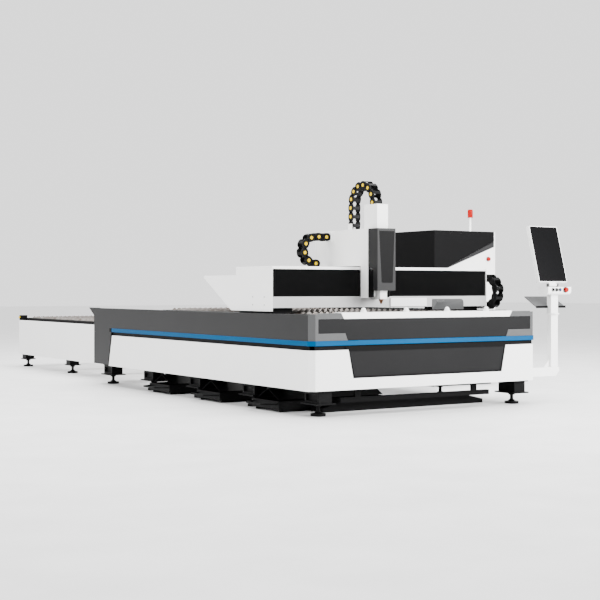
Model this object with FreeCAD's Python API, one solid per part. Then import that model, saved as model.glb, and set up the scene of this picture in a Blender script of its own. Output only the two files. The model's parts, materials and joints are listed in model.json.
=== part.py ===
import FreeCAD, Part
import math
import os

# Fiber laser cutting machine for flat sheet: an open bed with a travelling gantry, an exchange
# table behind it, a power cabinet and an operator console at its right-hand side.
# Millimetres. X runs across the bed from its left side, Y from the front to the exchange table,
# Z up from the floor. When everything is built it is shifted so that the origin lies on the
# floor, under the middle of the whole machine.

V = FreeCAD.Vector

# ---- overall sizes ---------------------------------------------------------------------------
BED_W = 2500.0            # across the side panels
BED_L = 4500.0            # front face to rear edge

# ---- levels of the bed's outer panels --------------------------------------------------------
SKIRT_LIFT = 219.0        # floor to the white skirt
SKIRT_H = 337.0
BAND_H = 37.0             # dark recess over the skirt
STRIPE_H = 41.0           # blue stripe
FASCIA_H = 181.0          # dark front fascia over the stripe
WALL_H = 217.0            # gray side wall over the stripe
LEDGE_H = 52.0            # white front ledge
SKIRT_TOP = SKIRT_LIFT + SKIRT_H
BAND_TOP = SKIRT_TOP + BAND_H
STRIPE_TOP = BAND_TOP + STRIPE_H
FASCIA_TOP = STRIPE_TOP + FASCIA_H
WALL_TOP = STRIPE_TOP + WALL_H
LEDGE_TOP = FASCIA_TOP + LEDGE_H

SHEET = 4.0               # thickness of folded panels
CORNER = 45.0             # front corners of the bed, cut at 45 degrees in plan
SKIRT_L = 4000.0          # front corner to the skirt's rear end, along its top edge
SKIRT_REAR_RAKE = 90.0    # how much longer the skirt is at its bottom edge
STRIPE_PROUD = 6.0

# ---- feet and welded bed frame ---------------------------------------------------------------
FEET_PER_SIDE = 5
FOOT_END = 150.0          # first and last foot, from the bed's ends
FOOT_IN = 170.0           # foot axis, from the bed's side
FOOT_R = 65.0
FOOT_DISC_H = 22.0
FOOT_SCREW_R = 16.0
FOOT_NUT_R = 30.0
FOOT_NUT_H = 18.0
BRACKET_Z = 100.0         # underside of the foot's box bracket
BRACKET_W = 130.0
BRACKET_L = 220.0
BRACKET_FLANGE = 30.0
FRAME_Z = 210.0           # underside of the lower tubes
TUBE = 140.0              # lower tubes and posts
TUBE_WALL = 8.0
BEAM_IN = 20.0            # side beams that carry the rails, in from the bed's sides
BEAM_W = 300.0
BEAM_Z = 560.0
BEAM_H = 230.0
BEAM_WALL = 12.0
BEAM_TOP = BEAM_Z + BEAM_H
CROSS = 100.0             # cross tubes between the lower tubes
BAY_X = BEAM_IN + BEAM_W  # free room between the side beams, from the bed's side

# ---- linear guides ---------------------------------------------------------------------------
RAIL_W = 34.0
RAIL_H = 30.0
TRUCK_W = 100.0
TRUCK_L = 160.0
TRUCK_H = 64.0            # rail foot to truck top
RUN_GAP = 0.5             # rail to truck, and every other sliding pair
Y_RAIL_IN = 150.0         # rail axis, from the bed's side
RACK_W = 30.0
RACK_H = 34.0
RACK_GAP = 40.0           # rail edge to rack

# ---- gantry ----------------------------------------------------------------------------------
GANTRY_IN = 30.0          # end covers, in from the bed's sides
GANTRY_FRONT = 660.0      # front face, at rest
GANTRY_DEPTH = 640.0
GANTRY_BOTTOM = 905.0
GANTRY_TOP = 1265.0
GANTRY_COVER_Z = 870.0    # lower edge of the end covers
BELLOWS_H = 242.0
BELLOWS_Z = 998.0
BELLOWS_D = 56.0
BEAM_FACE = 105.0         # beam plate behind the gantry's front face
WEDGE_L = 620.0
WEDGE_DROP = 75.0         # wedge top, under the gantry top
WEDGE_FOOT = 90.0
X_RAIL_W = 28.0
X_RAIL_H = 32.0
X_RAIL_ZS = (1030.0, 1150.0)
END_T = 6.0               # end cover plates

# ---- carriage and cutting head ---------------------------------------------------------------
CARRIAGE_X = 966.0        # left side, at rest
CARRIAGE_W = 204.0
CARRIAGE_TOP = 1609.0
CARRIAGE_FRONT = 544.0
CARRIAGE_REAR = 1415.0
CARRIAGE_NOSE_Z = 984.0   # lower end of the part in front of the bellows
COVER_FRONT = 400.0       # face of the head cover
COVER_Z = 1050.0
COVER_WAIST_Z = 1245.0
COVER_WAIST_Y = 468.0
CROWN_W = 123.0           # box on top of the vertical slide
CROWN_H = 221.0
CROWN_FRONT = 460.0
CROWN_D = 200.0
HEAD_W = 84.0
HEAD_Z = 975.0
HEAD_TOP = 1300.0
NOZZLE_H = 45.0
CASE_T = 5.0              # housing sheet
CAST_Y0 = 590.0           # front of the casting that carries the slide
CAST_TOP = 1225.0
BACK_TOP = 1460.0         # top of the casting's upright back
PLATE_Y0 = 525.0          # sliding plate, front and back
PLATE_Y1 = 541.0
SCREW_R = 8.0
SCREW_FIT = 0.05

# ---- energy chains ---------------------------------------------------------------------------
CHAIN_T = 76.0            # height of a link
CHAIN_W = 86.0
CHAIN_GAP = 3.0           # lower run to the loop that rolls over it
X_CHAIN_Y = 1150.0
X_CHAIN_LEAD = 190.0      # bend centre, left of the carriage
X_CHAIN_TOP = 1590.0
Y_CHAIN_TOP = 1210.0
Y_CHAIN_FRONT = 560.0
Y_CHAIN_R = 172.0         # outside of its bend
Y_CHAIN_END = 1000.0      # bracket on the gantry, at rest
Y_TRAY_FRONT = 480.0
Y_TRAY_REAR = 80.0        # tray's end, in from the bed's rear edge
CHAIN_CLEAR = 6.0         # stripe to tray wall, and tray wall to chain
Z_CHAIN_R = 170.0         # centre line of its arch
Z_CHAIN_SPRING = 1847.0   # height where the arch starts

# ---- pallets ---------------------------------------------------------------------------------
PALLET_L = 3270.0
PALLET_ASIDE = 100.0      # pallet to side beam
PALLET_X = BAY_X + PALLET_ASIDE
PALLET_Y = 330.0          # inner pallet, front end
PALLET_TOP = 862.0        # slat tips of the inner pallet
SHUTTLE_TOP = 690.0       # slat tips of the pallet on the exchange table
SHUTTLE_GAP = 110.0       # bed's rear edge to the parked shuttle pallet
SHUTTLE_Y = BED_L + SHUTTLE_GAP
PALLET_RAIL = 60.0
SLAT_H = 78.0
SLAT_T = 4.0
SLATS = 33
SLAT_TEETH = 24
SLAT_TOOTH_H = 22.0
WHEEL_R = 34.0
WHEEL_T = 22.0
WHEEL_IN = 8.0            # wheel, in from the pallet's side
WHEELS_PER_SIDE = 4
LEDGE_REACH = 50.0        # supports and tracks, under the pallet's rail

# ---- exchange table --------------------------------------------------------------------------
TABLE_ASIDE = 30.0        # table side panels, in from the side beams' inner faces
TABLE_INSET = BAY_X + TABLE_ASIDE
STOP_ROOM = 70.0          # parked pallet to the table's rear end
TABLE_L = SHUTTLE_GAP + PALLET_L + STOP_ROOM
TABLE_SKIRT_Z = 170.0
TABLE_TOP = 634.0
TABLE_TUBE = 80.0
TABLE_FOOT_SHIFT = 90.0   # foot axis, in from the table's side

# ---- scrap drawers and front scrap pan -------------------------------------------------------
DRAWERS = 3
DRAWER_L = 460.0          # along the bed
DRAWER_SHIFT = 110.0      # behind the middle of its bay
DRAWER_D = 1150.0         # into the bed
DRAWER_H = 72.0
DRAWER_Z = 24.5
DRAWER_IN = 30.0          # drawer's front, in from the bed's side
RUNNER = 24.0             # square floor runner
RUNNER_IN = 60.0
RIDGE_HALF = 180.0        # deflector's half width along the bed
RIDGE_Z = 104.0
RIDGE_TOP = 196.0
RIDGE_T = 8.0
HANDLE_REACH = 120.0
HANDLE_L = 430.0
PAN_X = 350.0
PAN_W = 1800.0
PAN_Y = 350.0
PAN_GAP = 15.0            # pan to the first scrap drawer
PAN_H = 84.0

# ---- power cabinet ---------------------------------------------------------------------------
CABINET_ASIDE = 400.0     # bed's side to the cabinet
CABINET_X = BED_W + CABINET_ASIDE
CABINET_W = 850.0
CABINET_Y = 2000.0
CABINET_D = 1900.0
CABINET_TOP = 1706.0
PLINTH_H = 90.0
CABINET_SHEET = 6.0
DOOR_T = 20.0
PANEL_LOW_Z = 1223.2      # lower edge of the dark panel, at the cabinet's left
PANEL_RISE = 375.0        # how much higher that edge is at the right
GRAY_LOW_Z = 1536.0       # lower corner of the gray wedge
BEACON_STEM = 160.0

# ---- operator console ------------------------------------------------------------------------
CONSOLE_ASIDE = 400.0     # bed's side to the column's axis
CONSOLE_X = BED_W + CONSOLE_ASIDE
SWIVEL_Z = 820.0          # top of the fixed column
CONSOLE_Y = 200.0
ARM_Z = 232.0
ARM_H = 86.0
ARM_W = 90.0
COLUMN_W = 90.0
COLUMN_D = 56.0
SCREEN_W = 366.0
SCREEN_H = 560.0
SCREEN_T = 42.0
SCREEN_TILT = 15.0
SCREEN_Z = 1104.0         # hinge line
CONTROL_Z = 1014.0
CONTROL_W = 300.0
CONTROL_H = 72.0
CONTROL_D = 130.0
TRAY_Z = 890.0
TRAY_W = 380.0
TRAY_D = 160.0
TRAY_RISE = 95.0          # low edge to high edge
TRAY_T = 9.0
BUTTON_R = 11.0
ESTOP_R = 22.0
BUTTON_FIT = 0.3


# ---- helpers ---------------------------------------------------------------------------------
def box(x0, y0, z0, x1, y1, z1):
    return Part.makeBox(x1 - x0, y1 - y0, z1 - z0, V(x0, y0, z0))


def rod(x, y, z, radius, length, axis=(0, 0, 1)):
    return Part.makeCylinder(radius, length, V(x, y, z), V(*axis))


def prism(outline, axis, start, end):
    """Extrude an outline along X (points are y, z), Y (x, z) or Z (x, y)."""
    place = {
        "x": lambda a, b: V(start, a, b),
        "y": lambda a, b: V(a, start, b),
        "z": lambda a, b: V(a, b, start),
    }[axis]
    points = [place(a, b) for a, b in outline]
    run = {"x": V(1, 0, 0), "y": V(0, 1, 0), "z": V(0, 0, 1)}[axis] * (end - start)
    return Part.Face(Part.makePolygon(points + points[:1])).extrude(run)


def hollow(x0, y0, z0, x1, y1, z1, axis, wall):
    """A rectangular tube that runs along one axis, open at both ends."""
    grow = {a: (0.0 if a == axis else wall) for a in "xyz"}
    inner = box(
        x0 + grow["x"], y0 + grow["y"], z0 + grow["z"],
        x1 - grow["x"], y1 - grow["y"], z1 - grow["z"],
    )
    return box(x0, y0, z0, x1, y1, z1).cut(inner)


def shell_box(x0, y0, z0, x1, y1, z1, wall, open_side=None):
    """A thin-walled box; open_side is '-z', '+y' and so on."""
    inner = [x0 + wall, y0 + wall, z0 + wall, x1 - wall, y1 - wall, z1 - wall]
    if open_side:
        index = "xyz".index(open_side[1]) + (3 if open_side[0] == "+" else 0)
        inner[index] = (x0, y0, z0, x1, y1, z1)[index]
    return box(x0, y0, z0, x1, y1, z1).cut(box(*inner))


def mirror_bed(shape):
    """The same piece on the bed's other side."""
    return shape.mirror(V(BED_W / 2, 0, 0), V(1, 0, 0))


def both_sides(shapes):
    return shapes + [mirror_bed(shape) for shape in shapes]


def spread(first, last, count):
    """Evenly spaced positions, ends included."""
    return [first + (last - first) * i / (count - 1) for i in range(count)]


def cut_all(shape, tools):
    for tool in tools:
        shape = shape.cut(tool)
    return shape


def union(shapes):
    whole = shapes[0]
    for shape in shapes[1:]:
        whole = whole.fuse(shape)
    return whole.removeSplitter()


def half_ring(centre, start_deg, sweep_deg, outer, inner, normal, width):
    """A bent stretch of energy chain: a ring sector, extruded along its normal."""
    frame = FreeCAD.Rotation(V(0, 0, 1), normal)
    start = math.radians(start_deg)
    middle = math.radians(start_deg + sweep_deg / 2)
    end = math.radians(start_deg + sweep_deg)

    def at(radius, angle):
        return centre + frame.multVec(V(radius * math.cos(angle), radius * math.sin(angle), 0))

    edges = [
        Part.Arc(at(outer, start), at(outer, middle), at(outer, end)).toShape(),
        Part.makeLine(at(outer, end), at(inner, end)),
        Part.Arc(at(inner, end), at(inner, middle), at(inner, start)).toShape(),
        Part.makeLine(at(inner, start), at(outer, start)),
    ]
    return Part.Face(Part.Wire(edges)).extrude(normal * width)


FOOT_YS = spread(FOOT_END, BED_L - FOOT_END, FEET_PER_SIDE)
BED_MID = BED_W / 2


# ---- bed: frame, feet, rails -----------------------------------------------------------------
def bed_frame():
    """Lower tubes, posts over the feet, side beams and cross tubes, all hollow sections."""
    inner, outer = FOOT_IN + TUBE / 2, FOOT_IN - TUBE / 2
    half = [hollow(outer, SHEET, FRAME_Z, inner, BED_L - 20, FRAME_Z + TUBE, "y", TUBE_WALL)]
    half.append(hollow(BEAM_IN, 60, BEAM_Z, BEAM_IN + BEAM_W, BED_L - 20, BEAM_TOP, "y", BEAM_WALL))
    for y in FOOT_YS:
        y0 = min(max(y - TUBE / 2, SHEET + 60), BED_L - 20 - TUBE)
        half.append(hollow(outer, y0, FRAME_Z + TUBE, inner, y0 + TUBE, BEAM_Z, "z", TUBE_WALL))
    cross = []
    for y in FOOT_YS:
        y0 = min(y - CROSS / 2, BED_L - 20 - CROSS)
        cross.append(hollow(inner, y0, FRAME_Z + 20, BED_W - inner, y0 + CROSS,
                            FRAME_Z + 20 + CROSS, "x", TUBE_WALL))
    return both_sides(half) + cross


def foot_brackets():
    """Box bracket with a bolting flange, one over each foot."""
    half = []
    for y in FOOT_YS:
        y0, y1 = y - BRACKET_L / 2, y + BRACKET_L / 2
        x0, x1 = FOOT_IN - BRACKET_W / 2, FOOT_IN + BRACKET_W / 2
        body = box(x0, y0, BRACKET_Z + 12, x1, y1, FRAME_Z)
        body = body.cut(box(x0 - 1, y0 + 24, BRACKET_Z + 30, x0 + 22, y1 - 24, FRAME_Z - 24))
        flange = box(x0 - BRACKET_FLANGE, y0 - 20, BRACKET_Z, x1 + BRACKET_FLANGE, y1 + 20,
                     BRACKET_Z + 12)
        screw = rod(FOOT_IN, y, BRACKET_Z - 1, FOOT_SCREW_R, FRAME_Z - BRACKET_Z + 1)
        half.append(body.fuse(flange).removeSplitter().cut(screw))
    return both_sides(half)


def levelling_foot(x, y, top):
    """Disc, threaded stem and lock nut, turned from one bar."""
    disc = rod(x, y, 0, FOOT_R, FOOT_DISC_H)
    neck = Part.makeCone(FOOT_R * 0.6, FOOT_SCREW_R + 6, 16, V(x, y, FOOT_DISC_H))
    stem = rod(x, y, FOOT_DISC_H, FOOT_SCREW_R - 0.3, top - FOOT_DISC_H)
    nut = rod(x, y, BRACKET_Z - FOOT_NUT_H, FOOT_NUT_R, FOOT_NUT_H)
    return union([disc, neck, stem, nut])


def levelling_feet():
    return both_sides([levelling_foot(FOOT_IN, y, FRAME_Z - 10) for y in FOOT_YS])


def front_tie_bar():
    """Bar under the front edge, hung from the first cross tube by two lugs."""
    x0, x1 = 420.0, BED_W - 420.0
    y0 = FOOT_END + CROSS / 2 - 20
    bar = box(x0, y0, 95, x1, y0 + 40, 137)
    lugs = [box(x, y0, 137, x + 60, y0 + 20, FRAME_Z + 20) for x in (x0 + 150, x1 - 210)]
    return [union([bar] + lugs)]


def y_rails():
    x = Y_RAIL_IN
    return both_sides([box(x - RAIL_W / 2, 80, BEAM_TOP, x + RAIL_W / 2, BED_L - 60,
                           BEAM_TOP + RAIL_H)])


def y_racks():
    x = Y_RAIL_IN + RAIL_W / 2 + RACK_GAP
    return both_sides([box(x, 80, BEAM_TOP, x + RACK_W, BED_L - 60, BEAM_TOP + RACK_H)])


def lower_track():
    """Angle rails under the inner pallet; the shuttle pallet rolls in on them."""
    z1 = SHUTTLE_TOP - SLAT_H - 2 * WHEEL_R
    shelf = box(BAY_X, 120, z1 - 8, PALLET_X + LEDGE_REACH, BED_L, z1)
    web = box(BAY_X, 120, z1, BAY_X + 8, BED_L, z1 + 40)
    return both_sides([shelf.fuse(web).removeSplitter()])


# ---- bed: panels -----------------------------------------------------------------------------
def side_panels():
    """Gray wall: a full-length upper band that reaches down behind the skirt's rear end."""
    foot_y = SKIRT_L + SKIRT_REAR_RAKE
    outline = [
        (CORNER, BAND_TOP), (SKIRT_L + 20, BAND_TOP), (foot_y + 20, SKIRT_LIFT + 10),
        (BED_L, SKIRT_LIFT + 10), (BED_L, WALL_TOP), (CORNER, WALL_TOP),
    ]
    wall = prism(outline, "x", 0, SHEET)
    rim = box(SHEET, CORNER, WALL_TOP - SHEET, 60, BED_L, WALL_TOP)
    return both_sides([wall.fuse(rim).removeSplitter()])


def side_recess():
    """Dark channel behind the stripe, over the skirt."""
    return both_sides([box(BEAM_IN - SHEET, CORNER, SKIRT_TOP, BEAM_IN, SKIRT_L, STRIPE_TOP)])


def side_skirts():
    outline = [
        (CORNER, SKIRT_LIFT), (SKIRT_L + SKIRT_REAR_RAKE, SKIRT_LIFT), (SKIRT_L, SKIRT_TOP),
        (CORNER, SKIRT_TOP),
    ]
    skirt = prism(outline, "x", 0, SHEET)
    lip = box(SHEET, CORNER, SKIRT_TOP - SHEET, BEAM_IN, SKIRT_L - 20, SKIRT_TOP)
    return both_sides([skirt.fuse(lip).removeSplitter()])


def access_outline(grow):
    """Trapezoid of the access panel in the front skirt (x, z)."""
    top, bottom = 380 - grow, 430 - grow
    return [(top, SKIRT_TOP - 1 + grow), (BED_W - top, SKIRT_TOP - 1 + grow),
            (BED_W - bottom, SKIRT_LIFT + 100 - grow), (bottom, SKIRT_LIFT + 100 - grow)]


def front_skirt():
    """White lower front with its cut corners, and the opening for the access panel."""
    outline = [(0, CORNER), (CORNER, 0), (BED_W - CORNER, 0), (BED_W, CORNER),
               (BED_W - SHEET, CORNER), (BED_W - CORNER - 1.7, SHEET),
               (CORNER + 1.7, SHEET), (SHEET, CORNER)]
    skirt = prism(outline, "z", SKIRT_LIFT, SKIRT_TOP)
    return [skirt.cut(prism(access_outline(4), "y", -1, SHEET + 1))]


def access_panel():
    panel = prism(access_outline(0), "y", SHEET + 2, SHEET + 5)
    lugs = [box(x, SHEET + 5, SKIRT_LIFT + 140, x + 60, SHEET + 60, SKIRT_LIFT + 150)
            for x in (600, BED_MID - 30, BED_W - 660)]
    return [union([panel] + lugs)]


def access_frame():
    """Folded rim behind the front skirt that holds the access panel."""
    ring = prism(access_outline(30), "y", SHEET, SHEET + 2)
    return [ring.cut(prism(access_outline(-14), "y", 0, 12))]


def front_band():
    return [box(CORNER, 12, SKIRT_TOP, BED_W - CORNER, 16, BAND_TOP)]


def blue_stripe():
    """Thin strip that runs down both sides and round the cut front corners."""
    p = STRIPE_PROUD
    k = p * 0.41
    outline = [(-p, SKIRT_L), (-p, CORNER - k), (CORNER - k, -p), (BED_W - CORNER + k, -p),
               (BED_W + p, CORNER - k), (BED_W + p, SKIRT_L), (BED_W, SKIRT_L),
               (BED_W, CORNER), (BED_W - CORNER, 0), (CORNER, 0), (0, CORNER), (0, SKIRT_L)]
    return [prism(outline, "z", BAND_TOP, STRIPE_TOP)]


def stripe_end_caps():
    cap = box(-STRIPE_PROUD, SKIRT_L, BAND_TOP, 0, SKIRT_L + 60, STRIPE_TOP)
    return both_sides([cap])


def front_frame():
    """Light-gray front: corner strips, top rail and the two blocks at the fascia's lower ends."""
    corner = prism([(0, CORNER), (CORNER, 0), (CORNER + 30, 0), (CORNER + 30, SHEET),
                    (CORNER + 2, SHEET), (SHEET, CORNER)], "z", STRIPE_TOP, LEDGE_TOP - 10)
    block = prism([(CORNER + 30, STRIPE_TOP), (370, STRIPE_TOP), (345, STRIPE_TOP + 62),
                   (CORNER + 30, STRIPE_TOP + 62)], "y", 0, SHEET)
    shelf = prism([(CORNER + 30, FASCIA_TOP), (330, FASCIA_TOP), (300, LEDGE_TOP - 4),
                   (CORNER + 30, LEDGE_TOP - 4)], "y", 0, SHEET)
    top = box(CORNER + 30, SHEET, LEDGE_TOP - 8, 300, 58, LEDGE_TOP - 4)
    return both_sides([union([corner, block, shelf, top])])


def front_backing():
    """Plate behind the fascia, between the side beams."""
    return [box(CORNER, 16, BAND_TOP, BED_W - CORNER, 20, FASCIA_TOP - 8)]


def front_fascia():
    low = STRIPE_TOP + 63
    x0 = CORNER + 31
    outline = [(x0, low), (346, low), (371, STRIPE_TOP), (BED_W - 371, STRIPE_TOP),
               (BED_W - 346, low), (BED_W - x0, low), (BED_W - x0, FASCIA_TOP - 1),
               (x0, FASCIA_TOP - 1)]
    return [prism(outline, "y", 1, 16)]


def front_ledge():
    """White folded ledge along the top of the front."""
    outline = [(331, FASCIA_TOP), (BED_W - 331, FASCIA_TOP), (BED_W - 301, LEDGE_TOP),
               (301, LEDGE_TOP)]
    face = prism(outline, "y", -2, SHEET)
    top = box(301, SHEET, LEDGE_TOP - SHEET, BED_W - 301, 110, LEDGE_TOP)
    web_x = BAY_X + 11
    web = box(web_x, 60, BEAM_TOP - 10, BED_W - web_x, 64, LEDGE_TOP - SHEET)
    foot = box(BAY_X, 64, BEAM_TOP - 10, BED_W - BAY_X, 110, BEAM_TOP - 4)
    return [union([face, top, web, foot])]


def ledge_ball_units():
    """Four ball transfer units that the sheet rolls over when it is loaded."""
    units = []
    for i in range(4):
        x = BED_MID + (i - 1.5) * 455.0
        cup = rod(x, 52, LEDGE_TOP, 26, 14)
        ball = Part.makeSphere(20, V(x, 52, LEDGE_TOP + 20.1))
        units.append(cup.fuse(ball).removeSplitter())
    return units


def rear_guides():
    """Flared flaps that lead the pallet into the bed's rear opening."""
    outline = [(BED_L, WALL_TOP - 90), (BED_L + 150, WALL_TOP), (BED_L + 150, WALL_TOP + 4),
               (BED_L - 120, WALL_TOP + 4), (BED_L - 120, WALL_TOP), (BED_L, WALL_TOP)]
    flap = prism(outline, "x", 4, 24)
    return both_sides([flap])


# ---- pallets ---------------------------------------------------------------------------------
def slat(x0, x1, y, top):
    """One support slat with a row of pointed teeth along its top."""
    pitch = (x1 - x0) / SLAT_TEETH
    outline = [(x0, top - SLAT_H), (x1, top - SLAT_H), (x1, top - SLAT_TOOTH_H)]
    for i in reversed(range(SLAT_TEETH)):
        tip = x0 + (i + 0.5) * pitch
        outline += [(tip + 4, top), (tip - 4, top), (x0 + i * pitch, top - SLAT_TOOTH_H)]
    return prism(outline, "y", y, y + SLAT_T)


def pallet_slats(y0, top):
    x0 = PALLET_X + PALLET_RAIL
    first, last = y0 + PALLET_RAIL + 40, y0 + PALLET_L - PALLET_RAIL - 40 - SLAT_T
    ys = spread(first, last, SLATS)
    return [slat(x0, BED_W - x0, y, top) for y in ys]


def pallet_frame(y0, top):
    """Four hollow rails; the slats hang between the long ones."""
    x0, x1 = PALLET_X, BED_W - PALLET_X
    z0, z1 = top - SLAT_H, top - SLAT_TOOTH_H
    r, y1 = PALLET_RAIL, y0 + PALLET_L
    sides = [hollow(x, y0, z0, x + r, y1, z1, "y", 5) for x in (x0, x1 - r)]
    ends = [hollow(x0 + r, y, z0, x1 - r, y + r, z1, "x", 5) for y in (y0, y1 - r)]
    return sides + ends


def inner_pallet_rails():
    """Ledges on the side beams that the inner pallet rests on."""
    z1 = PALLET_TOP - SLAT_H
    bars = [box(BAY_X, y, z1 - 60, PALLET_X + LEDGE_REACH, y + 80, z1)
            for y in spread(PALLET_Y + 40, PALLET_Y + PALLET_L - 120, 5)]
    return both_sides(bars)


def shuttle_wheels():
    """Flat rollers on stub axles under the shuttle pallet's long rails."""
    wheels = []
    z = SHUTTLE_TOP - SLAT_H - WHEEL_R
    for y in spread(SHUTTLE_Y + 200, SHUTTLE_Y + PALLET_L - 200, WHEELS_PER_SIDE):
        x = PALLET_X + WHEEL_IN
        wheel = rod(x, y, z, WHEEL_R - 0.5, WHEEL_T, (1, 0, 0))
        wheels.append(wheel.cut(rod(x, y, z, 10.05, WHEEL_T, (1, 0, 0))))
    return both_sides(wheels)


def shuttle_axles():
    """Axle plates welded under the pallet's rails, each with its stub axle."""
    plates = []
    z = SHUTTLE_TOP - SLAT_H - WHEEL_R
    for y in spread(SHUTTLE_Y + 200, SHUTTLE_Y + PALLET_L - 200, WHEELS_PER_SIDE):
        x = PALLET_X + WHEEL_IN + WHEEL_T + 1
        plate = box(x, y - 25, z - 20, x + 8, y + 25, z + WHEEL_R)
        axle = rod(x - WHEEL_T - 1, y, z, 10, WHEEL_T + 1, (1, 0, 0))
        plates.append(plate.fuse(axle))
    return both_sides(plates)


# ---- exchange table --------------------------------------------------------------------------
TABLE_Y0 = BED_L
TABLE_Y1 = BED_L + TABLE_L
TABLE_FOOT_IN = TABLE_INSET + TABLE_FOOT_SHIFT
TABLE_FOOT_YS = [BED_L + TABLE_L * 0.5, TABLE_Y1 - 120.0]
TRACK_Z = SHUTTLE_TOP - SLAT_H - 2 * WHEEL_R


def table_panels():
    """White side panels and the rear end panel, folded at the top."""
    x0, y0, y1 = TABLE_INSET, TABLE_Y0, TABLE_Y1
    side = box(x0, y0, TABLE_SKIRT_Z, x0 + SHEET, y1, TABLE_TOP)
    lip = box(x0 + SHEET, y0, TABLE_TOP - SHEET, x0 + 30, y1 - SHEET, TABLE_TOP)
    end = box(x0 + SHEET, y1 - SHEET, TABLE_SKIRT_Z, BED_W - x0 - SHEET, y1, TABLE_TOP - 60)
    return both_sides([side.fuse(lip).removeSplitter()]) + [end]


def table_frame():
    """Welded tubes inside the panels."""
    x0, t = TABLE_INSET + SHEET, TABLE_TUBE
    low, high = TABLE_SKIRT_Z + 20, TRACK_Z - 8
    half = [hollow(x0, TABLE_Y0, low, x0 + t, TABLE_Y1 - SHEET, low + t, "y", 5),
            hollow(x0, TABLE_Y0, high - t, x0 + t, TABLE_Y1 - SHEET, high, "y", 5)]
    posts = spread(TABLE_Y0, TABLE_Y1 - SHEET - t, 4)
    half += [hollow(x0, y, low + t, x0 + t, y + t, high - t, "z", 5) for y in posts]
    cross = [hollow(x0 + t, y, low, BED_W - x0 - t, y + t, low + t, "x", 5) for y in posts]
    return both_sides(half) + cross


def table_track():
    """Rolling track on the upper tubes, in line with the bed's lower track."""
    return both_sides([box(TABLE_INSET + SHEET, TABLE_Y0, TRACK_Z - 8, PALLET_X + LEDGE_REACH,
                           TABLE_Y1 - SHEET, TRACK_Z)])


def table_brackets():
    half = []
    for y in TABLE_FOOT_YS:
        low = TABLE_SKIRT_Z + 20
        bracket = box(TABLE_FOOT_IN - 60, y - 70, 112, TABLE_FOOT_IN + 60, y + 70, low)
        flange = box(TABLE_FOOT_IN - 75, y - 85, BRACKET_Z, TABLE_FOOT_IN + 75, y + 85, 112)
        screw = rod(TABLE_FOOT_IN, y, BRACKET_Z - 1, FOOT_SCREW_R, low - BRACKET_Z + 1)
        half.append(bracket.fuse(flange).removeSplitter().cut(screw))
    return both_sides(half)


def table_feet():
    return both_sides([levelling_foot(TABLE_FOOT_IN, y, TABLE_SKIRT_Z + 10)
                       for y in TABLE_FOOT_YS])


def table_stops():
    """Rubber-faced end stop bracket at each rear corner of the table."""
    x0 = TABLE_INSET + SHEET
    stop = box(x0, TABLE_Y1 - SHEET - 40, TRACK_Z, x0 + 100, TABLE_Y1 - SHEET, TABLE_TOP + 70)
    return both_sides([stop.cut(box(x0, TABLE_Y1 - 50, TABLE_TOP - SHEET - 1, x0 + 31,
                                    TABLE_Y1 - SHEET + 1, TABLE_TOP + 1))])


def table_sensors():
    """Yellow round pallet sensor on the left stop, looking outward."""
    x = TABLE_INSET + SHEET
    y = TABLE_Y1 - SHEET - 20
    return [rod(x - 14, y, TABLE_TOP + 40, 14, 14, (1, 0, 0))]


# ---- gantry ----------------------------------------------------------------------------------
GX0 = GANTRY_IN
GX1 = BED_W - GANTRY_IN
GY0 = GANTRY_FRONT
GY1 = GANTRY_FRONT + GANTRY_DEPTH
BEAM_Y0 = GY0 + BEAM_FACE
TRACK_FACE = BEAM_Y0 - X_RAIL_H
TRUCK_TOP = BEAM_TOP + TRUCK_H
CHAIN_BED_Z = GANTRY_TOP - CHAIN_GAP - CHAIN_T


def y_truck(x, y):
    """A block with a channel that clears its rail."""
    block = box(x - TRUCK_W / 2, y - TRUCK_L / 2, BEAM_TOP + 6, x + TRUCK_W / 2,
                y + TRUCK_L / 2, TRUCK_TOP)
    slot = box(x - RAIL_W / 2 - RUN_GAP, y - TRUCK_L, BEAM_TOP, x + RAIL_W / 2 + RUN_GAP,
               y + TRUCK_L, BEAM_TOP + RAIL_H + RUN_GAP)
    return block.cut(slot)


def y_trucks():
    ys = (GY0 + 140, GY1 - 100)
    return both_sides([y_truck(Y_RAIL_IN, y) for y in ys])


def gantry_saddles():
    """Plate between the trucks and the beam, one each side."""
    return both_sides([box(60, BEAM_Y0, TRUCK_TOP, 300, GY1 - 10, GANTRY_BOTTOM)])


def gantry_beam():
    """Hollow welded beam; its top is lower along the chain trough."""
    top = CHAIN_BED_Z - 4
    return [hollow(GX0 + END_T, BEAM_Y0, GANTRY_BOTTOM, GX1 - END_T, GY1 - 10, top, "x", 10)]


def gantry_top_cover():
    """White folded cover with a front lip over the bellows and a trough for the X chain."""
    x0, x1 = GX0 + END_T, GX1 - END_T
    lip = box(x0, GY0, BELLOWS_Z + BELLOWS_H, x1, GY0 + 6, GANTRY_TOP)
    top = box(x0, GY0 + 6, GANTRY_TOP - 4, x1, GY1 - 10, GANTRY_TOP)
    half = CHAIN_W / 2 + 6
    trough = box(x0 + 60, X_CHAIN_Y - half - 4, CHAIN_BED_Z - 4, x1 - 60,
                 X_CHAIN_Y + half + 4, GANTRY_TOP)
    space = box(x0 + 64, X_CHAIN_Y - half, CHAIN_BED_Z, x1 - 64, X_CHAIN_Y + half,
                GANTRY_TOP)
    ribs = [box(x, BEAM_Y0, CHAIN_BED_Z - 4, x + 4, BEAM_Y0 + 120, GANTRY_TOP - 4)
            for x in spread(x0 + 100, x1 - 100, 5)]
    return [union([lip, top, trough] + ribs).cut(space)]


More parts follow.
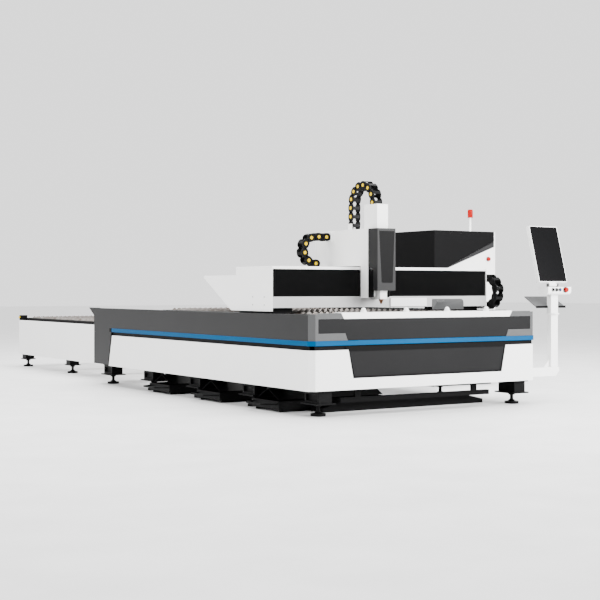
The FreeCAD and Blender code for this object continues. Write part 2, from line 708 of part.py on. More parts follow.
def gantry_front_cover():
    """Light-gray lower cover under the bellows."""
    x0, x1 = GX0 + END_T, GX1 - END_T
    face = box(x0, GY0, GANTRY_BOTTOM - 5, x1, GY0 + 4, BELLOWS_Z)
    shelf = box(x0, GY0 + 4, BELLOWS_Z - 4, x1, BEAM_Y0, BELLOWS_Z)
    return [face.fuse(shelf).removeSplitter()]


def gantry_sensor_cover():
    return [box(1300, GY0 - 14, 905, 1720, GY0, 982)]


def gantry_bracket_plate():
    """Gray plate with a rounded corner and two screws on the lower cover."""
    plate = box(1795, GY0 - 6, 872, 2175, GY0, 972)
    edges = [e for e in plate.Edges
             if abs(e.CenterOfMass.x - 2175) < 1 and abs(e.CenterOfMass.z - 972) < 1]
    plate = plate.makeFillet(34, edges)
    heads = [rod(x, GY0 - 10, 948, 9, 5, (0, 1, 0)) for x in (1860, 1925)]
    return [union([plate] + heads)]


def gantry_end_covers():
    return both_sides([box(GX0, GY0, GANTRY_COVER_Z, GX0 + END_T, GY1, GANTRY_TOP)])


def end_cover_screws():
    """Four pan-head screws in each end cover."""
    heads = []
    for y in (GY0 + 130, GY0 + 330):
        for z in (GANTRY_COVER_Z + 55, GANTRY_COVER_Z + 125):
            heads.append(rod(GX0 - 4, y, z, 8, 4, (1, 0, 0)))
    return both_sides(heads)


def rear_wedges():
    """Triangular plate behind each end cover."""
    top = GANTRY_TOP - WEDGE_DROP
    outline = [(GY1, GANTRY_COVER_Z), (GY1 + WEDGE_FOOT, GANTRY_COVER_Z),
               (GY1 + WEDGE_L, top - 20), (GY1 + WEDGE_L, top), (GY1, top)]
    return both_sides([prism(outline, "x", GX0, GX0 + END_T)])


def x_rails():
    x0, x1 = GX0 + 60, GX1 - 60
    return [box(x0, TRACK_FACE, z - X_RAIL_W / 2, x1, BEAM_Y0, z + X_RAIL_W / 2)
            for z in X_RAIL_ZS]


def x_rack():
    middle = sum(X_RAIL_ZS) / 2
    return [box(GX0 + 60, BEAM_Y0 - RACK_W, middle - 15, GX1 - 60, BEAM_Y0, middle + 15)]


def bellows_left():
    z0, z1 = BELLOWS_Z + 1, BELLOWS_Z + BELLOWS_H - 1
    return [box(GX0 + END_T + RUN_GAP, GY0 + 2, z0, CARRIAGE_X - 1, GY0 + 2 + BELLOWS_D, z1)]


def bellows_right():
    z0, z1 = BELLOWS_Z + 1, BELLOWS_Z + BELLOWS_H - 1
    x0 = CARRIAGE_X + CARRIAGE_W + 1
    return [box(x0, GY0 + 2, z0, GX1 - END_T - RUN_GAP, GY0 + 2 + BELLOWS_D, z1)]


def x_chain_lower():
    x0, x1 = GX0 + END_T + 70, GX1 - END_T - 70
    return [box(x0, X_CHAIN_Y - CHAIN_W / 2, CHAIN_BED_Z, x1, X_CHAIN_Y + CHAIN_W / 2,
                CHAIN_BED_Z + CHAIN_T)]


def y_motor(x):
    gear = box(x - 55, GY1 - 10, GANTRY_BOTTOM + 10, x + 55, GY1 + 60, GANTRY_BOTTOM + 130)
    body = rod(x, GY1 + 60, GANTRY_BOTTOM + 70, 45, 150, (0, 1, 0))
    return gear.fuse(body).removeSplitter()


def y_motors():
    return both_sides([y_motor(190.0)])


# ---- energy chain along the bed --------------------------------------------------------------
YC_X0 = BED_W + STRIPE_PROUD + 2 * CHAIN_CLEAR
YC_X1 = YC_X0 + CHAIN_W
YC_LOW = Y_CHAIN_TOP - 2 * Y_CHAIN_R - CHAIN_GAP - CHAIN_T


def y_chain_tray():
    """Black tray on the right-hand wall that the chain's lower run lies in."""
    z0 = YC_LOW
    x1, y0, y1 = YC_X1 + CHAIN_CLEAR, Y_TRAY_FRONT, BED_L - Y_TRAY_REAR
    floor = box(BED_W, y0, z0 - 6, x1 + SHEET, y1, z0)
    lip = box(x1, y0, z0, x1 + SHEET, y1, z0 + 30)
    return [floor.fuse(lip).removeSplitter()]


def y_chain_lower():
    return [box(YC_X0, Y_TRAY_FRONT + 20, YC_LOW, YC_X1, BED_L - Y_TRAY_REAR - 20,
                YC_LOW + CHAIN_T)]


def y_chain_loop():
    """Bend and upper run; the upper run ends at the bracket on the gantry."""
    outer = Y_CHAIN_R
    centre = V(YC_X0, Y_CHAIN_FRONT + outer, Y_CHAIN_TOP - outer)
    bend = half_ring(centre, 0, -180, outer, outer - CHAIN_T, V(1, 0, 0), CHAIN_W)
    upper = box(YC_X0, Y_CHAIN_FRONT + outer, Y_CHAIN_TOP - CHAIN_T, YC_X1, Y_CHAIN_END,
                Y_CHAIN_TOP)
    return [bend.fuse(upper).removeSplitter()]


def y_chain_bracket():
    y0, z1 = Y_CHAIN_END, Y_CHAIN_TOP
    arm = box(GX1, y0, z1 - CHAIN_T - 6, YC_X1, y0 + 120, z1 - CHAIN_T)
    stop = box(GX1, y0, z1 - CHAIN_T, YC_X1, y0 + 6, z1 + 10)
    return [arm.fuse(stop).removeSplitter()]


# ---- carriage --------------------------------------------------------------------------------
CX0 = CARRIAGE_X
CX1 = CARRIAGE_X + CARRIAGE_W
CXM = CARRIAGE_X + CARRIAGE_W / 2
NOSE_Y = GANTRY_FRONT - 5
HOUSING_Z = GANTRY_TOP + 10
CAST_Y1 = TRACK_FACE - 28


def carriage_housing():
    """White folded shell over the beam, open below, with a nose in front of the bellows."""
    outline = [(CARRIAGE_FRONT, CARRIAGE_NOSE_Z), (NOSE_Y, CARRIAGE_NOSE_Z),
               (NOSE_Y, HOUSING_Z), (CARRIAGE_REAR, HOUSING_Z),
               (CARRIAGE_REAR, CARRIAGE_TOP), (CARRIAGE_FRONT, CARRIAGE_TOP)]
    outer = prism(outline, "x", CX0, CX1)
    room = box(CX0 + CASE_T, CARRIAGE_FRONT - 1, CARRIAGE_NOSE_Z - 1, CX1 - CASE_T,
               CARRIAGE_REAR - CASE_T, CARRIAGE_TOP - CASE_T)
    well = box(CXM - CROWN_W / 2 - 6, CARRIAGE_FRONT - 1, CARRIAGE_TOP - CASE_T - 1,
               CXM + CROWN_W / 2 + 6, CROWN_FRONT + CROWN_D + 6, CARRIAGE_TOP + 1)
    return [cut_all(outer, [room, well])]


def carriage_casting():
    """Machined block between the bellows, with the plate that carries the vertical rails."""
    x0, x1 = CX0 + CASE_T, CX1 - CASE_T
    block = box(x0, CAST_Y0, 1000, x1, CAST_Y1, CAST_TOP)
    block = block.cut(box(x0 + 30, CAST_Y0 + 30, 999, x1 - 30, CAST_Y1 - 16, CAST_TOP - 20))
    plate = box(x0, CAST_Y0, CAST_TOP, x1, CAST_Y0 + 30, BACK_TOP)
    bridge = box(x0, CAST_Y0 + 30, HOUSING_Z, x1, 900, HOUSING_Z + 10)
    return [union([block, plate, bridge])]


def x_trucks():
    """Four trucks that grip the beam's rails behind the casting."""
    blocks = []
    for z in X_RAIL_ZS:
        for x in (CX0 + 50, CX1 - 50):
            block = box(x - 40, CAST_Y1, z - 30, x + 40, BEAM_Y0 - 6, z + 30)
            slot = box(x - 41, TRACK_FACE - RUN_GAP, z - X_RAIL_W / 2 - RUN_GAP,
                       x + 41, BEAM_Y0, z + X_RAIL_W / 2 + RUN_GAP)
            blocks.append(block.cut(slot))
    return blocks


def carriage_motor():
    foot = box(CXM - 60, 700, HOUSING_Z + 10, CXM + 60, 820, HOUSING_Z + 30)
    return [foot.fuse(rod(CXM, 760, HOUSING_Z + 30, 52, 170)).removeSplitter()]


def z_motor():
    return [box(CXM - 30, 546, BACK_TOP, CXM + 30, 604, BACK_TOP + 88)]


def z_rails():
    return [box(x - 8, CAST_Y0 - 15, 1010, x + 8, CAST_Y0, BACK_TOP - 5)
            for x in (CXM - 58, CXM + 58)]


def z_guard():
    """Black cheeks on both sides of the vertical slide."""
    x0 = CX0 + 7
    cheeks = []
    for x in (x0, CX1 - 7 - 14):
        cheeks.append(box(x, 478, CARRIAGE_NOSE_Z + 6, x + 14, CAST_Y0, 1240))
    return cheeks


def x_chain_bracket():
    z1 = X_CHAIN_TOP
    arm = box(CX0 - 26, X_CHAIN_Y - 50, z1 - CHAIN_T - 10, CX0, X_CHAIN_Y + 50, z1 + 6)
    return [arm]


def x_chain_loop():
    """Bend and upper run of the chain that feeds the carriage."""
    outer = (X_CHAIN_TOP - GANTRY_TOP) / 2
    x = CX0 - X_CHAIN_LEAD
    y0 = X_CHAIN_Y - CHAIN_W / 2
    centre = V(x, y0, GANTRY_TOP + outer)
    bend = half_ring(centre, 90, 180, outer, outer - CHAIN_T, V(0, 1, 0), CHAIN_W)
    upper = box(x, y0, X_CHAIN_TOP - CHAIN_T, CX0 - 26, y0 + CHAIN_W, X_CHAIN_TOP)
    return [bend.fuse(upper).removeSplitter()]


# ---- vertical slide --------------------------------------------------------------------------
CROWN_TOP = CARRIAGE_TOP + CROWN_H
CROWN_MID = CROWN_FRONT + CROWN_D / 2


def z_plate():
    """Sliding plate with its ears for the head cover and the trucks on its back."""
    plate = box(CXM - 78, PLATE_Y0, 1060, CXM + 78, PLATE_Y1, CARRIAGE_TOP - CASE_T)
    ears = box(CX0 + 6, PLATE_Y0 + 4, 1380, CX1 - 6, PLATE_Y0 + 13, 1560)
    return [plate.fuse(ears).removeSplitter()]


def z_trucks():
    blocks = []
    for x in (CXM - 58, CXM + 58):
        for z in (1120, 1290):
            block = box(x - 20, PLATE_Y1, z, x + 20, CAST_Y0 - 3, z + 60)
            slot = box(x - 8 - RUN_GAP, CAST_Y0 - 15 - RUN_GAP, z - 1, x + 8 + RUN_GAP,
                       CAST_Y0, z + 61)
            blocks.append(block.cut(slot))
    return blocks


def head_cover():
    """Dark folded cover in front of the slide, narrower below its waist, open at the back."""
    outline = [(COVER_FRONT, COVER_Z), (COVER_WAIST_Y - 8, COVER_Z),
               (COVER_WAIST_Y, COVER_WAIST_Z), (PLATE_Y1 - 3, COVER_WAIST_Z + 30),
               (PLATE_Y1 - 3, CARRIAGE_TOP), (COVER_FRONT, CARRIAGE_TOP)]
    outer = prism(outline, "x", CX0 + 1, CX1 - 1)
    room = box(CX0 + 6, COVER_FRONT + 5, COVER_Z - 1, CX1 - 6, PLATE_Y1, CARRIAGE_TOP - 5)
    return [outer.cut(room)]


def head_cover_inlay():
    """Darker panel on the cover's face that narrows towards its rounded lower corners."""
    top, bottom = CARRIAGE_TOP - 24, COVER_Z + 70
    outline = [(CX0 + 22, top), (CX1 - 14, top), (CX1 - 34, bottom), (CX0 + 50, bottom)]
    plate = prism(outline, "y", COVER_FRONT - 3, COVER_FRONT)
    low = [e for e in plate.Edges if len(e.Vertexes) == 2 and abs(e.CenterOfMass.z - bottom) < 1
           and abs(e.Vertexes[0].Z - e.Vertexes[1].Z) < 0.01
           and abs(e.Vertexes[0].X - e.Vertexes[1].X) < 0.01]
    return [plate.makeFillet(12, low)]


def z_crown():
    """White box on top of the slide, where its energy chain ends."""
    x0 = CXM - CROWN_W / 2
    return [shell_box(x0, CROWN_FRONT, CARRIAGE_TOP, x0 + CROWN_W, CROWN_FRONT + CROWN_D,
                      CROWN_TOP, 4, "-z")]


def cutting_head():
    """Collimator column, focusing body and sensor ring."""
    y = PLATE_Y0 - 43
    body = box(CXM - HEAD_W / 2, y - 42, HEAD_Z + 70, CXM + HEAD_W / 2, PLATE_Y0, HEAD_TOP)
    lower = box(CXM - HEAD_W / 2 + 4, y - 38, HEAD_Z, CXM + HEAD_W / 2 - 4, y + 38, HEAD_Z + 70)
    return [body.fuse(lower).removeSplitter()]


def nozzle():
    y = PLATE_Y0 - 43
    cone = Part.makeCone(6, 24, NOZZLE_H, V(CXM, y, HEAD_Z - NOZZLE_H))
    return [cone.cut(rod(CXM, y, HEAD_Z - NOZZLE_H, 1.5, NOZZLE_H))]


def z_chain():
    """Arch from the carriage's top to the crown."""
    outer = Z_CHAIN_R + CHAIN_T / 2
    inner = Z_CHAIN_R - CHAIN_T / 2
    x0 = CXM - CHAIN_W / 2
    centre = V(x0, CROWN_MID + Z_CHAIN_R, Z_CHAIN_SPRING)
    arch = half_ring(centre, 90, 180, outer, inner, V(1, 0, 0), CHAIN_W)
    fixed_y = CROWN_MID + 2 * Z_CHAIN_R
    legs = [box(x0, y - CHAIN_T / 2, z + 1, x0 + CHAIN_W, y + CHAIN_T / 2, Z_CHAIN_SPRING)
            for y, z in ((fixed_y, CARRIAGE_TOP), (CROWN_MID, CROWN_TOP))]
    return [union([arch] + legs)]


def z_chain_feet():
    """Clamp plate on the carriage's top that holds the fixed end of the chain."""
    y = CROWN_MID + 2 * Z_CHAIN_R
    plate = box(CXM - 60, y - 60, CARRIAGE_TOP, CXM + 60, y + 60, CARRIAGE_TOP + 0.7)
    ears = [box(x, y - 30, CARRIAGE_TOP, x + 6, y + 30, CARRIAGE_TOP + 60)
            for x in (CXM - CHAIN_W / 2 - 8, CXM + CHAIN_W / 2 + 2)]
    return [union([plate] + ears)]


# ---- scrap handling --------------------------------------------------------------------------
def bay_middle(i):
    return (FOOT_YS[i] + FOOT_YS[i + 1]) / 2 + DRAWER_SHIFT


def drawer_tray(i):
    y = bay_middle(i)
    return shell_box(DRAWER_IN, y - DRAWER_L / 2, DRAWER_Z, DRAWER_IN + DRAWER_D,
                     y + DRAWER_L / 2, DRAWER_Z + DRAWER_H, SHEET, "+z")


def drawer_handle(i):
    """Flat bar bent into a wide loop at the drawer's front."""
    y, half, out = bay_middle(i), HANDLE_L / 2, DRAWER_IN - HANDLE_REACH
    outer = [(DRAWER_IN, y - half), (out, y - half + 90), (out, y + half - 90),
             (DRAWER_IN, y + half)]
    inner = [(DRAWER_IN, y - half + 24), (out + 18, y - half + 100),
             (out + 18, y + half - 100), (DRAWER_IN, y + half - 24)]
    z = DRAWER_Z + 40
    return prism(outer, "z", z, z + 14).cut(prism(inner, "z", z - 1, z + 15))


def drawer_runners():
    """Floor runners under each drawer."""
    bars = []
    for i in range(DRAWERS):
        y = bay_middle(i)
        for offset in (-DRAWER_L / 2 + 20, DRAWER_L / 2 - 20 - RUNNER):
            bars.append(box(RUNNER_IN, y + offset, 0, RUNNER_IN + DRAWER_D,
                            y + offset + RUNNER, RUNNER))
    return bars


def scrap_hoppers():
    """Ridged deflector over each drawer, hung from the lower tube by a tab."""
    ridges = []
    for i in range(DRAWERS):
        y = bay_middle(i)
        roof = [(y - RIDGE_HALF, RIDGE_Z), (y, RIDGE_TOP), (y + RIDGE_HALF, RIDGE_Z)]
        under = [(y + RIDGE_HALF - RIDGE_T, RIDGE_Z), (y, RIDGE_TOP - 5),
                 (y - RIDGE_HALF + RIDGE_T, RIDGE_Z)]
        x0, x1 = RUNNER_IN, DRAWER_IN + DRAWER_D
        ridge = prism(roof + under, "x", x0, x1)
        tab = box(FOOT_IN - 60, y - 30, RIDGE_TOP - 14, FOOT_IN + 60, y + 30, FRAME_Z)
        tab = tab.cut(prism(roof, "x", x0, x1))
        ridges.append(ridge.fuse(tab))
    return ridges


def scrap_pan():
    """Boat-shaped pan on the floor under the bed's front, open on top."""
    x0, x1, h = PAN_X, PAN_X + PAN_W, PAN_H
    y1 = bay_middle(0) - DRAWER_L / 2 - PAN_GAP
    outline = [(x0, RUN_GAP), (x1, RUN_GAP), (x1, h * 0.45), (x1 - 200, h), (x0 + 200, h),
               (x0, h * 0.45)]
    inner = [(x0 + 5, 6), (x1 - 5, 6), (x1 - 5, h + 1), (x0 + 5, h + 1)]
    outer = prism(outline, "y", PAN_Y, y1)
    return [outer.cut(prism(inner, "y", PAN_Y + 5, y1 - 5))]


# ---- power cabinet ---------------------------------------------------------------------------
KX0 = CABINET_X
KX1 = CABINET_X + CABINET_W
KY0 = CABINET_Y
KY1 = CABINET_Y + CABINET_D


def cabinet_plinth():
    z = PLINTH_H
    outer = box(KX0 + 20, KY0 + 20, 0, KX1 - 20, KY1 - 20, z)
    return [outer.cut(box(KX0 + 60, KY0 + 60, -1, KX1 - 60, KY1 - 60, z + 1))]


def cabinet_shell():
    return [shell_box(KX0, KY0, PLINTH_H, KX1, KY1, CABINET_TOP, CABINET_SHEET, "+x")]


def cabinet_door(front):
    """Flat door with a pull handle; hinged along its outer vertical edge."""
    middle = (KY0 + KY1) / 2
    y0, y1 = (KY0 + 1, middle - 2) if front else (middle + 2, KY1 - 1)
    door = box(KX1 + RUN_GAP, y0, PLINTH_H + 1, KX1 + DOOR_T, y1, CABINET_TOP - 1)
    y = middle - 60 if front else middle + 36
    pull = box(KX1 + DOOR_T, y, 900, KX1 + DOOR_T + 30, y + 24, 1100)
    grip = box(KX1 + DOOR_T, y - 1, 925, KX1 + DOOR_T + 20, y + 25, 1075)
    return [door, pull.cut(grip)]


def cabinet_dark_panel():
    """Dark sheet over the upper front, its lower edge rising to the right, and the left side."""
    low, high = PANEL_LOW_Z, PANEL_LOW_Z + PANEL_RISE
    front = prism([(KX0 - 4, low), (KX1, high), (KX1, CABINET_TOP), (KX0 - 4, CABINET_TOP)],
                  "y", KY0 - 4, KY0)
    side = box(KX0 - 4, KY0, low, KX0, KY1, CABINET_TOP)
    return [front.fuse(side).removeSplitter()]


def cabinet_gray_band():
    """Mid-gray wedge under the dark panel."""
    start = KX0 + 60
    run = (start - KX0 + 4) / (CABINET_W + 4)
    outline = [(start, PANEL_LOW_Z + PANEL_RISE * run - 1), (KX1, PANEL_LOW_Z + PANEL_RISE - 1),
               (KX1, GRAY_LOW_Z)]
    return [prism(outline, "y", KY0 - 3, KY0)]


def laser_source():
    z = PLINTH_H + CABINET_SHEET
    return [box(KX0 + 60, KY0 + 120, z, KX1 - 120, KY0 + 900, z + 620)]


def control_rack():
    x = KX0 + CABINET_SHEET
    return [box(x, KY0 + 1000, 300, x + 40, KY1 - 80, 1500)]


BEACON_X = KX1 - 90.0
BEACON_Y = KY0 + 300.0


def beacon_base():
    disc = rod(BEACON_X, BEACON_Y, CABINET_TOP, 45, 10)
    return [disc.fuse(rod(BEACON_X, BEACON_Y, CABINET_TOP + 10, 12, BEACON_STEM))]


def beacon_light():
    z = CABINET_TOP + 10 + BEACON_STEM
    cap = Part.makeCone(30, 24, 14, V(BEACON_X, BEACON_Y, z + 80))
    return [rod(BEACON_X, BEACON_Y, z, 30, 80).fuse(cap).removeSplitter()]


def cable_duct():
    """Floor duct from under the bed's right side to the cabinet."""
    y0 = FOOT_YS[2] + 170
    floor = box(BED_W - FOOT_IN, y0, 0, KX0 + 20, y0 + 100, 80)
    riser = box(BED_W - FOOT_IN, y0, 80, BED_W - FOOT_IN + 60, y0 + 100, FRAME_Z)
    return [floor.fuse(riser).removeSplitter()]


# ---- push buttons ----------------------------------------------------------------------------
def collar(x, y, z, radius):
    """Bezel ring on a panel that faces -Y."""
    ring = rod(x, y - 8, z, radius + 6, 8, (0, 1, 0))
    return ring.cut(rod(x, y - 9, z, radius * 0.6 + BUTTON_FIT, 10, (0, 1, 0)))


def mushroom(x, y, z, radius):
    """Mushroom head on a stem that runs in its collar."""
    stem = rod(x, y - 14, z, radius * 0.6, 7, (0, 1, 0))
    head = Part.makeCone(radius, radius * 1.05, 12, V(x, y - 26, z), V(0, 1, 0))
    return stem.fuse(head).removeSplitter()


def flat_button(x, y, z, radius):
    return rod(x, y - 14, z, radius * 0.6, 8, (0, 1, 0))


CABINET_STOP = (KX1 - 90.0, KY0, 1400.0)


def cabinet_stop_collar():
    return [collar(*CABINET_STOP, ESTOP_R)]


def cabinet_stop_button():
    return [mushroom(*CABINET_STOP, ESTOP_R)]


# ---- operator console ------------------------------------------------------------------------
QX = CONSOLE_X
QY = CONSOLE_Y
PANEL_Y = QY - CONTROL_D + 30


def console_arm():
    """Arm bolted to the bed's side, with a cut elbow under the column and a gusset."""
    x1 = QX + COLUMN_W / 2
    outline = [(BED_W, ARM_Z), (x1 - 45, ARM_Z), (x1, ARM_Z + 45), (x1, ARM_Z + ARM_H),
               (BED_W, ARM_Z + ARM_H)]
    arm = prism(outline, "y", QY - ARM_W / 2, QY + ARM_W / 2)
    gusset = prism([(QX - COLUMN_W / 2 - 70, ARM_Z + ARM_H), (QX - COLUMN_W / 2, ARM_Z + ARM_H),
                    (QX - COLUMN_W / 2, ARM_Z + ARM_H + 70)], "y", QY - 4, QY + 4)
    return [arm.fuse(gusset)]


def console_column():
    return [box(QX - COLUMN_W / 2, QY - COLUMN_D / 2, ARM_Z + ARM_H, QX + COLUMN_W / 2,
                QY + COLUMN_D / 2, SWIVEL_Z)]


def console_post():
    """Turning head of the column: a flange and the upper post."""
    flange = rod(QX, QY, SWIVEL_Z + RUN_GAP, 62, 14)
    post = box(QX - COLUMN_W / 2, QY - COLUMN_D / 2, SWIVEL_Z + 14, QX + COLUMN_W / 2,
               QY + COLUMN_D / 2, CONTROL_Z)
    return [flange.fuse(post).removeSplitter()]


def control_box():
    """White box under the screen, chamfered along its lower front edge."""
    y0, y1 = PANEL_Y, PANEL_Y + CONTROL_D
    outline = [(y0, CONTROL_Z + 16), (y0 + 20, CONTROL_Z), (y1, CONTROL_Z),
               (y1, CONTROL_Z + CONTROL_H - 1), (y0, CONTROL_Z + CONTROL_H - 1)]
    return [prism(outline, "x", QX - CONTROL_W / 2, QX + CONTROL_W / 2)]


def control_collars():
    z = CONTROL_Z + 44
    rings = [collar(QX + 70, PANEL_Y, z, ESTOP_R)]
    return rings + [collar(QX + dx, PANEL_Y, z, BUTTON_R) for dx in (-90, -45, 0)]


def console_stop_button():
    return [mushroom(QX + 70, PANEL_Y, CONTROL_Z + 44, ESTOP_R)]


def console_button(dx):
    return [flat_button(QX + dx, PANEL_Y, CONTROL_Z + 44, BUTTON_R)]


def tilted(shape):
    """Lean a piece of the screen back about the hinge line at its foot."""
    turned = shape.copy()
    turned.rotate(V(QX, QY, SCREEN_Z), V(1, 0, 0), -SCREEN_TILT)
    return turned


def screen_hinge():
    """Two ears on the control box with the screen's hinge pin."""
    z = CONTROL_Z + CONTROL_H - 1
    ears = [box(QX + dx - 6, QY - 14, z, QX + dx + 6, QY + 14, SCREEN_Z + 14)
            for dx in (-60, 60)]
    pin = rod(QX - 70, QY, SCREEN_Z, 6, 140, (1, 0, 0))
    return [union(ears + [pin])]


def screen_housing():
    """White tray of the screen with its hinge knuckle."""
    x0, z0 = QX - SCREEN_W / 2, SCREEN_Z + 24
    case = shell_box(x0, QY - SCREEN_T / 2, z0, x0 + SCREEN_W, QY + SCREEN_T / 2,
                     z0 + SCREEN_H, 6, "-y")
    knuckle = rod(QX - 50, QY, SCREEN_Z, 12, 100, (1, 0, 0))
    web = box(QX - 50, QY - 6, SCREEN_Z + 8, QX + 50, QY + 6, z0 + 1)
    whole = union([case, knuckle, web])
    return [tilted(whole.cut(rod(QX - 50, QY, SCREEN_Z, 6.05, 100, (1, 0, 0))))]


def screen_panel():
    x0, z0 = QX - SCREEN_W / 2, SCREEN_Z + 24
    return [tilted(box(x0 + 6, QY - SCREEN_T / 2, z0 + 6, x0 + SCREEN_W - 6,
                       QY + SCREEN_T / 2 - 6, z0 + SCREEN_H - 6))]


def keyboard_tray():
    """Tray on the rear of the post that rises away from the operator."""
    y0 = QY + COLUMN_D / 2
    y1 = y0 + TRAY_D
    outline = [(y0, TRAY_Z), (y1, TRAY_Z + TRAY_RISE), (y1, TRAY_Z + TRAY_RISE + TRAY_T),
               (y0, TRAY_Z + TRAY_T)]
    return [prism(outline, "x", QX - TRAY_W / 2, QX + TRAY_W / 2)]


def tray_lips():
    """Dark stop strips along the tray's low edge, one on each side of the post."""
    y1 = QY + COLUMN_D / 2
    x0, x1 = QX + COLUMN_W / 2 + 1, QX + TRAY_W / 2
    return [box(a, y1 - 14, TRAY_Z - 8, b, y1, TRAY_Z + 16)
            for a, b in ((x0, x1), (2 * QX - x1, 2 * QX - x0))]


# ---- all nodes -------------------------------------------------------------------------------
NODES = {
    "bed_frame": bed_frame() + front_tie_bar(),
    "foot_brackets": foot_brackets() + table_brackets(),
    "levelling_feet": levelling_feet() + table_feet(),
    "y_guides": y_rails() + y_racks(),
    "rolling_track": lower_track() + table_track(),
    "side_panels": side_panels() + rear_guides(),
    "skirts": side_skirts() + front_skirt(),
    "stripe_recess": side_recess() + front_band() + stripe_end_caps(),
    "access_panel": access_panel() + access_frame(),
    "blue_stripe": blue_stripe(),
    "front_frame": front_frame() + front_backing(),
    "front_fascia": front_fascia(),
    "front_ledge": front_ledge() + ledge_ball_units(),
    "inner_pallet_frame": pallet_frame(PALLET_Y, PALLET_TOP) + inner_pallet_rails(),
    "inner_pallet_slats": pallet_slats(PALLET_Y, PALLET_TOP),
    "shuttle_pallet_frame": pallet_frame(SHUTTLE_Y, SHUTTLE_TOP) + shuttle_axles(),
    "shuttle_pallet_slats": pallet_slats(SHUTTLE_Y, SHUTTLE_TOP),
    "shuttle_wheels": shuttle_wheels(),
    "table_frame": table_frame() + table_stops() + table_sensors(),
    "table_panels": table_panels(),
    "gantry_beam": gantry_beam() + gantry_saddles(),
    "y_drives": y_trucks() + y_motors(),
    "gantry_top_cover": gantry_top_cover(),
    "gantry_end_covers": gantry_end_covers() + rear_wedges() + end_cover_screws(),
    "gantry_front_cover": gantry_front_cover() + gantry_sensor_cover() + gantry_bracket_plate(),
    "x_guides": x_rails() + x_rack(),
    "bellows_left": bellows_left(),
    "bellows_right": bellows_right(),
    "x_chain_lower": x_chain_lower(),
    "y_chain_lower": y_chain_tray() + y_chain_lower(),
    "y_chain_loop": y_chain_loop() + y_chain_bracket(),
    "carriage_housing": carriage_housing() + z_chain_feet(),
    "carriage_casting": carriage_casting() + x_trucks() + z_rails(),
    "carriage_motors": carriage_motor() + z_motor(),
    "z_guard": z_guard(),
    "x_chain_loop": x_chain_loop() + x_chain_bracket(),
    "z_plate": z_plate() + z_trucks(),
    "head_cover": head_cover() + head_cover_inlay(),
    "z_crown": z_crown(),
    "cutting_head": cutting_head() + nozzle(),
    "z_chain": z_chain(),
    "scrap_hoppers": scrap_hoppers() + drawer_runners(),
    "scrap_pan": scrap_pan(),
    "cabinet_case": cabinet_shell() + cabinet_plinth() + cabinet_stop_collar(),
    "cabinet_panels": cabinet_dark_panel() + cabinet_gray_band() + laser_source() + control_rack(),
    "cabinet_door_front": cabinet_door(True),
    "cabinet_door_rear": cabinet_door(False),
    "cabinet_stop_button": cabinet_stop_button(),
    "beacon": beacon_base() + beacon_light(),
    "console_arm": console_arm() + console_column() + cable_duct(),
    "control_box": control_box() + console_post() + control_collars() + screen_hinge(),
    "screen": screen_housing() + screen_panel(),
    "keyboard_tray": keyboard_tray() + tray_lips(),
    "console_stop_button": console_stop_button(),
}
for number, offset in enumerate((-90, -45, 0)):
    NODES["console_button_%d" % (number + 1)] = console_button(offset)
for number in range(DRAWERS):
    NODES["scrap_drawer_%d" % (number + 1)] = [drawer_tray(number), drawer_handle(number)]


def export_nodes(nodes):
    """Move the origin to the floor under the machine's middle and write one file per node."""
    compounds = {name: Part.makeCompound(shapes) for name, shapes in nodes.items()}
    bounds = Part.makeCompound(list(compounds.values())).BoundBox
    shift = V(-bounds.Center.x, -bounds.Center.y, -bounds.ZMin)
    os.makedirs("parts", exist_ok=True)
    for name, compound in compounds.items():
        compound.translate(shift)
        compound.exportStep(os.path.join("parts", name + ".step"))
    print("nodes", len(compounds), "shift", tuple(round(c, 4) for c in shift))


export_nodes(NODES)
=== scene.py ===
# %% [markdown]
# # A fiber laser cutting machine
# The construction comes ready from the CAD model. This lesson gives every surface its finish
# and builds the parts whose look needs more than a plain solid: the pleated bellows, the
# energy chains with their yellow link caps, and the softened edges of folded sheet metal.

# %% Load the model
import bpy
import bmesh
import json
import math
from mathutils import Matrix, Vector


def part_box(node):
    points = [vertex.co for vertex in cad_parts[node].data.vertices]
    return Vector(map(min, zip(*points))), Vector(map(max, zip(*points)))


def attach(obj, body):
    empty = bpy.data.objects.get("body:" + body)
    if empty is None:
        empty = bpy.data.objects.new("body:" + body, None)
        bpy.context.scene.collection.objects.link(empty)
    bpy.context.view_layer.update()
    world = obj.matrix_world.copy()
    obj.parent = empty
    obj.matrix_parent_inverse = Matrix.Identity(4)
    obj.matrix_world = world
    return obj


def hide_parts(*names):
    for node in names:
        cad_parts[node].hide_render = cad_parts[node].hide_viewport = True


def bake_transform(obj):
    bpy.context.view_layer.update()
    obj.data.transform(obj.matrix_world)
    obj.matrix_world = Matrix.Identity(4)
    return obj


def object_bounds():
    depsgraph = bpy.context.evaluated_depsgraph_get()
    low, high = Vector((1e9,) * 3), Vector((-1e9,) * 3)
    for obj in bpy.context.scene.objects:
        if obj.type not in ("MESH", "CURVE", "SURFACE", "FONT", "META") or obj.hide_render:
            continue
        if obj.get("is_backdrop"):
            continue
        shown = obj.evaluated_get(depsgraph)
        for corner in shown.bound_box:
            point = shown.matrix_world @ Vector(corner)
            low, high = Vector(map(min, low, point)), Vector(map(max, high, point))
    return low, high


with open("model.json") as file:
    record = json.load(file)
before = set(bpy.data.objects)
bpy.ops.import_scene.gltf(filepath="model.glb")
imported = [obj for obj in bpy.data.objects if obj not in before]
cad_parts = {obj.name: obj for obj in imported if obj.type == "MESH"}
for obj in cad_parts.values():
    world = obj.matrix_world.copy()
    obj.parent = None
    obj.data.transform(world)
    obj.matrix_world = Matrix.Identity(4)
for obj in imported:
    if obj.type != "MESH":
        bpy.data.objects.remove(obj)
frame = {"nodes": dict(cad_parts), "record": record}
cad_box = [list(corner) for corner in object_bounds()]

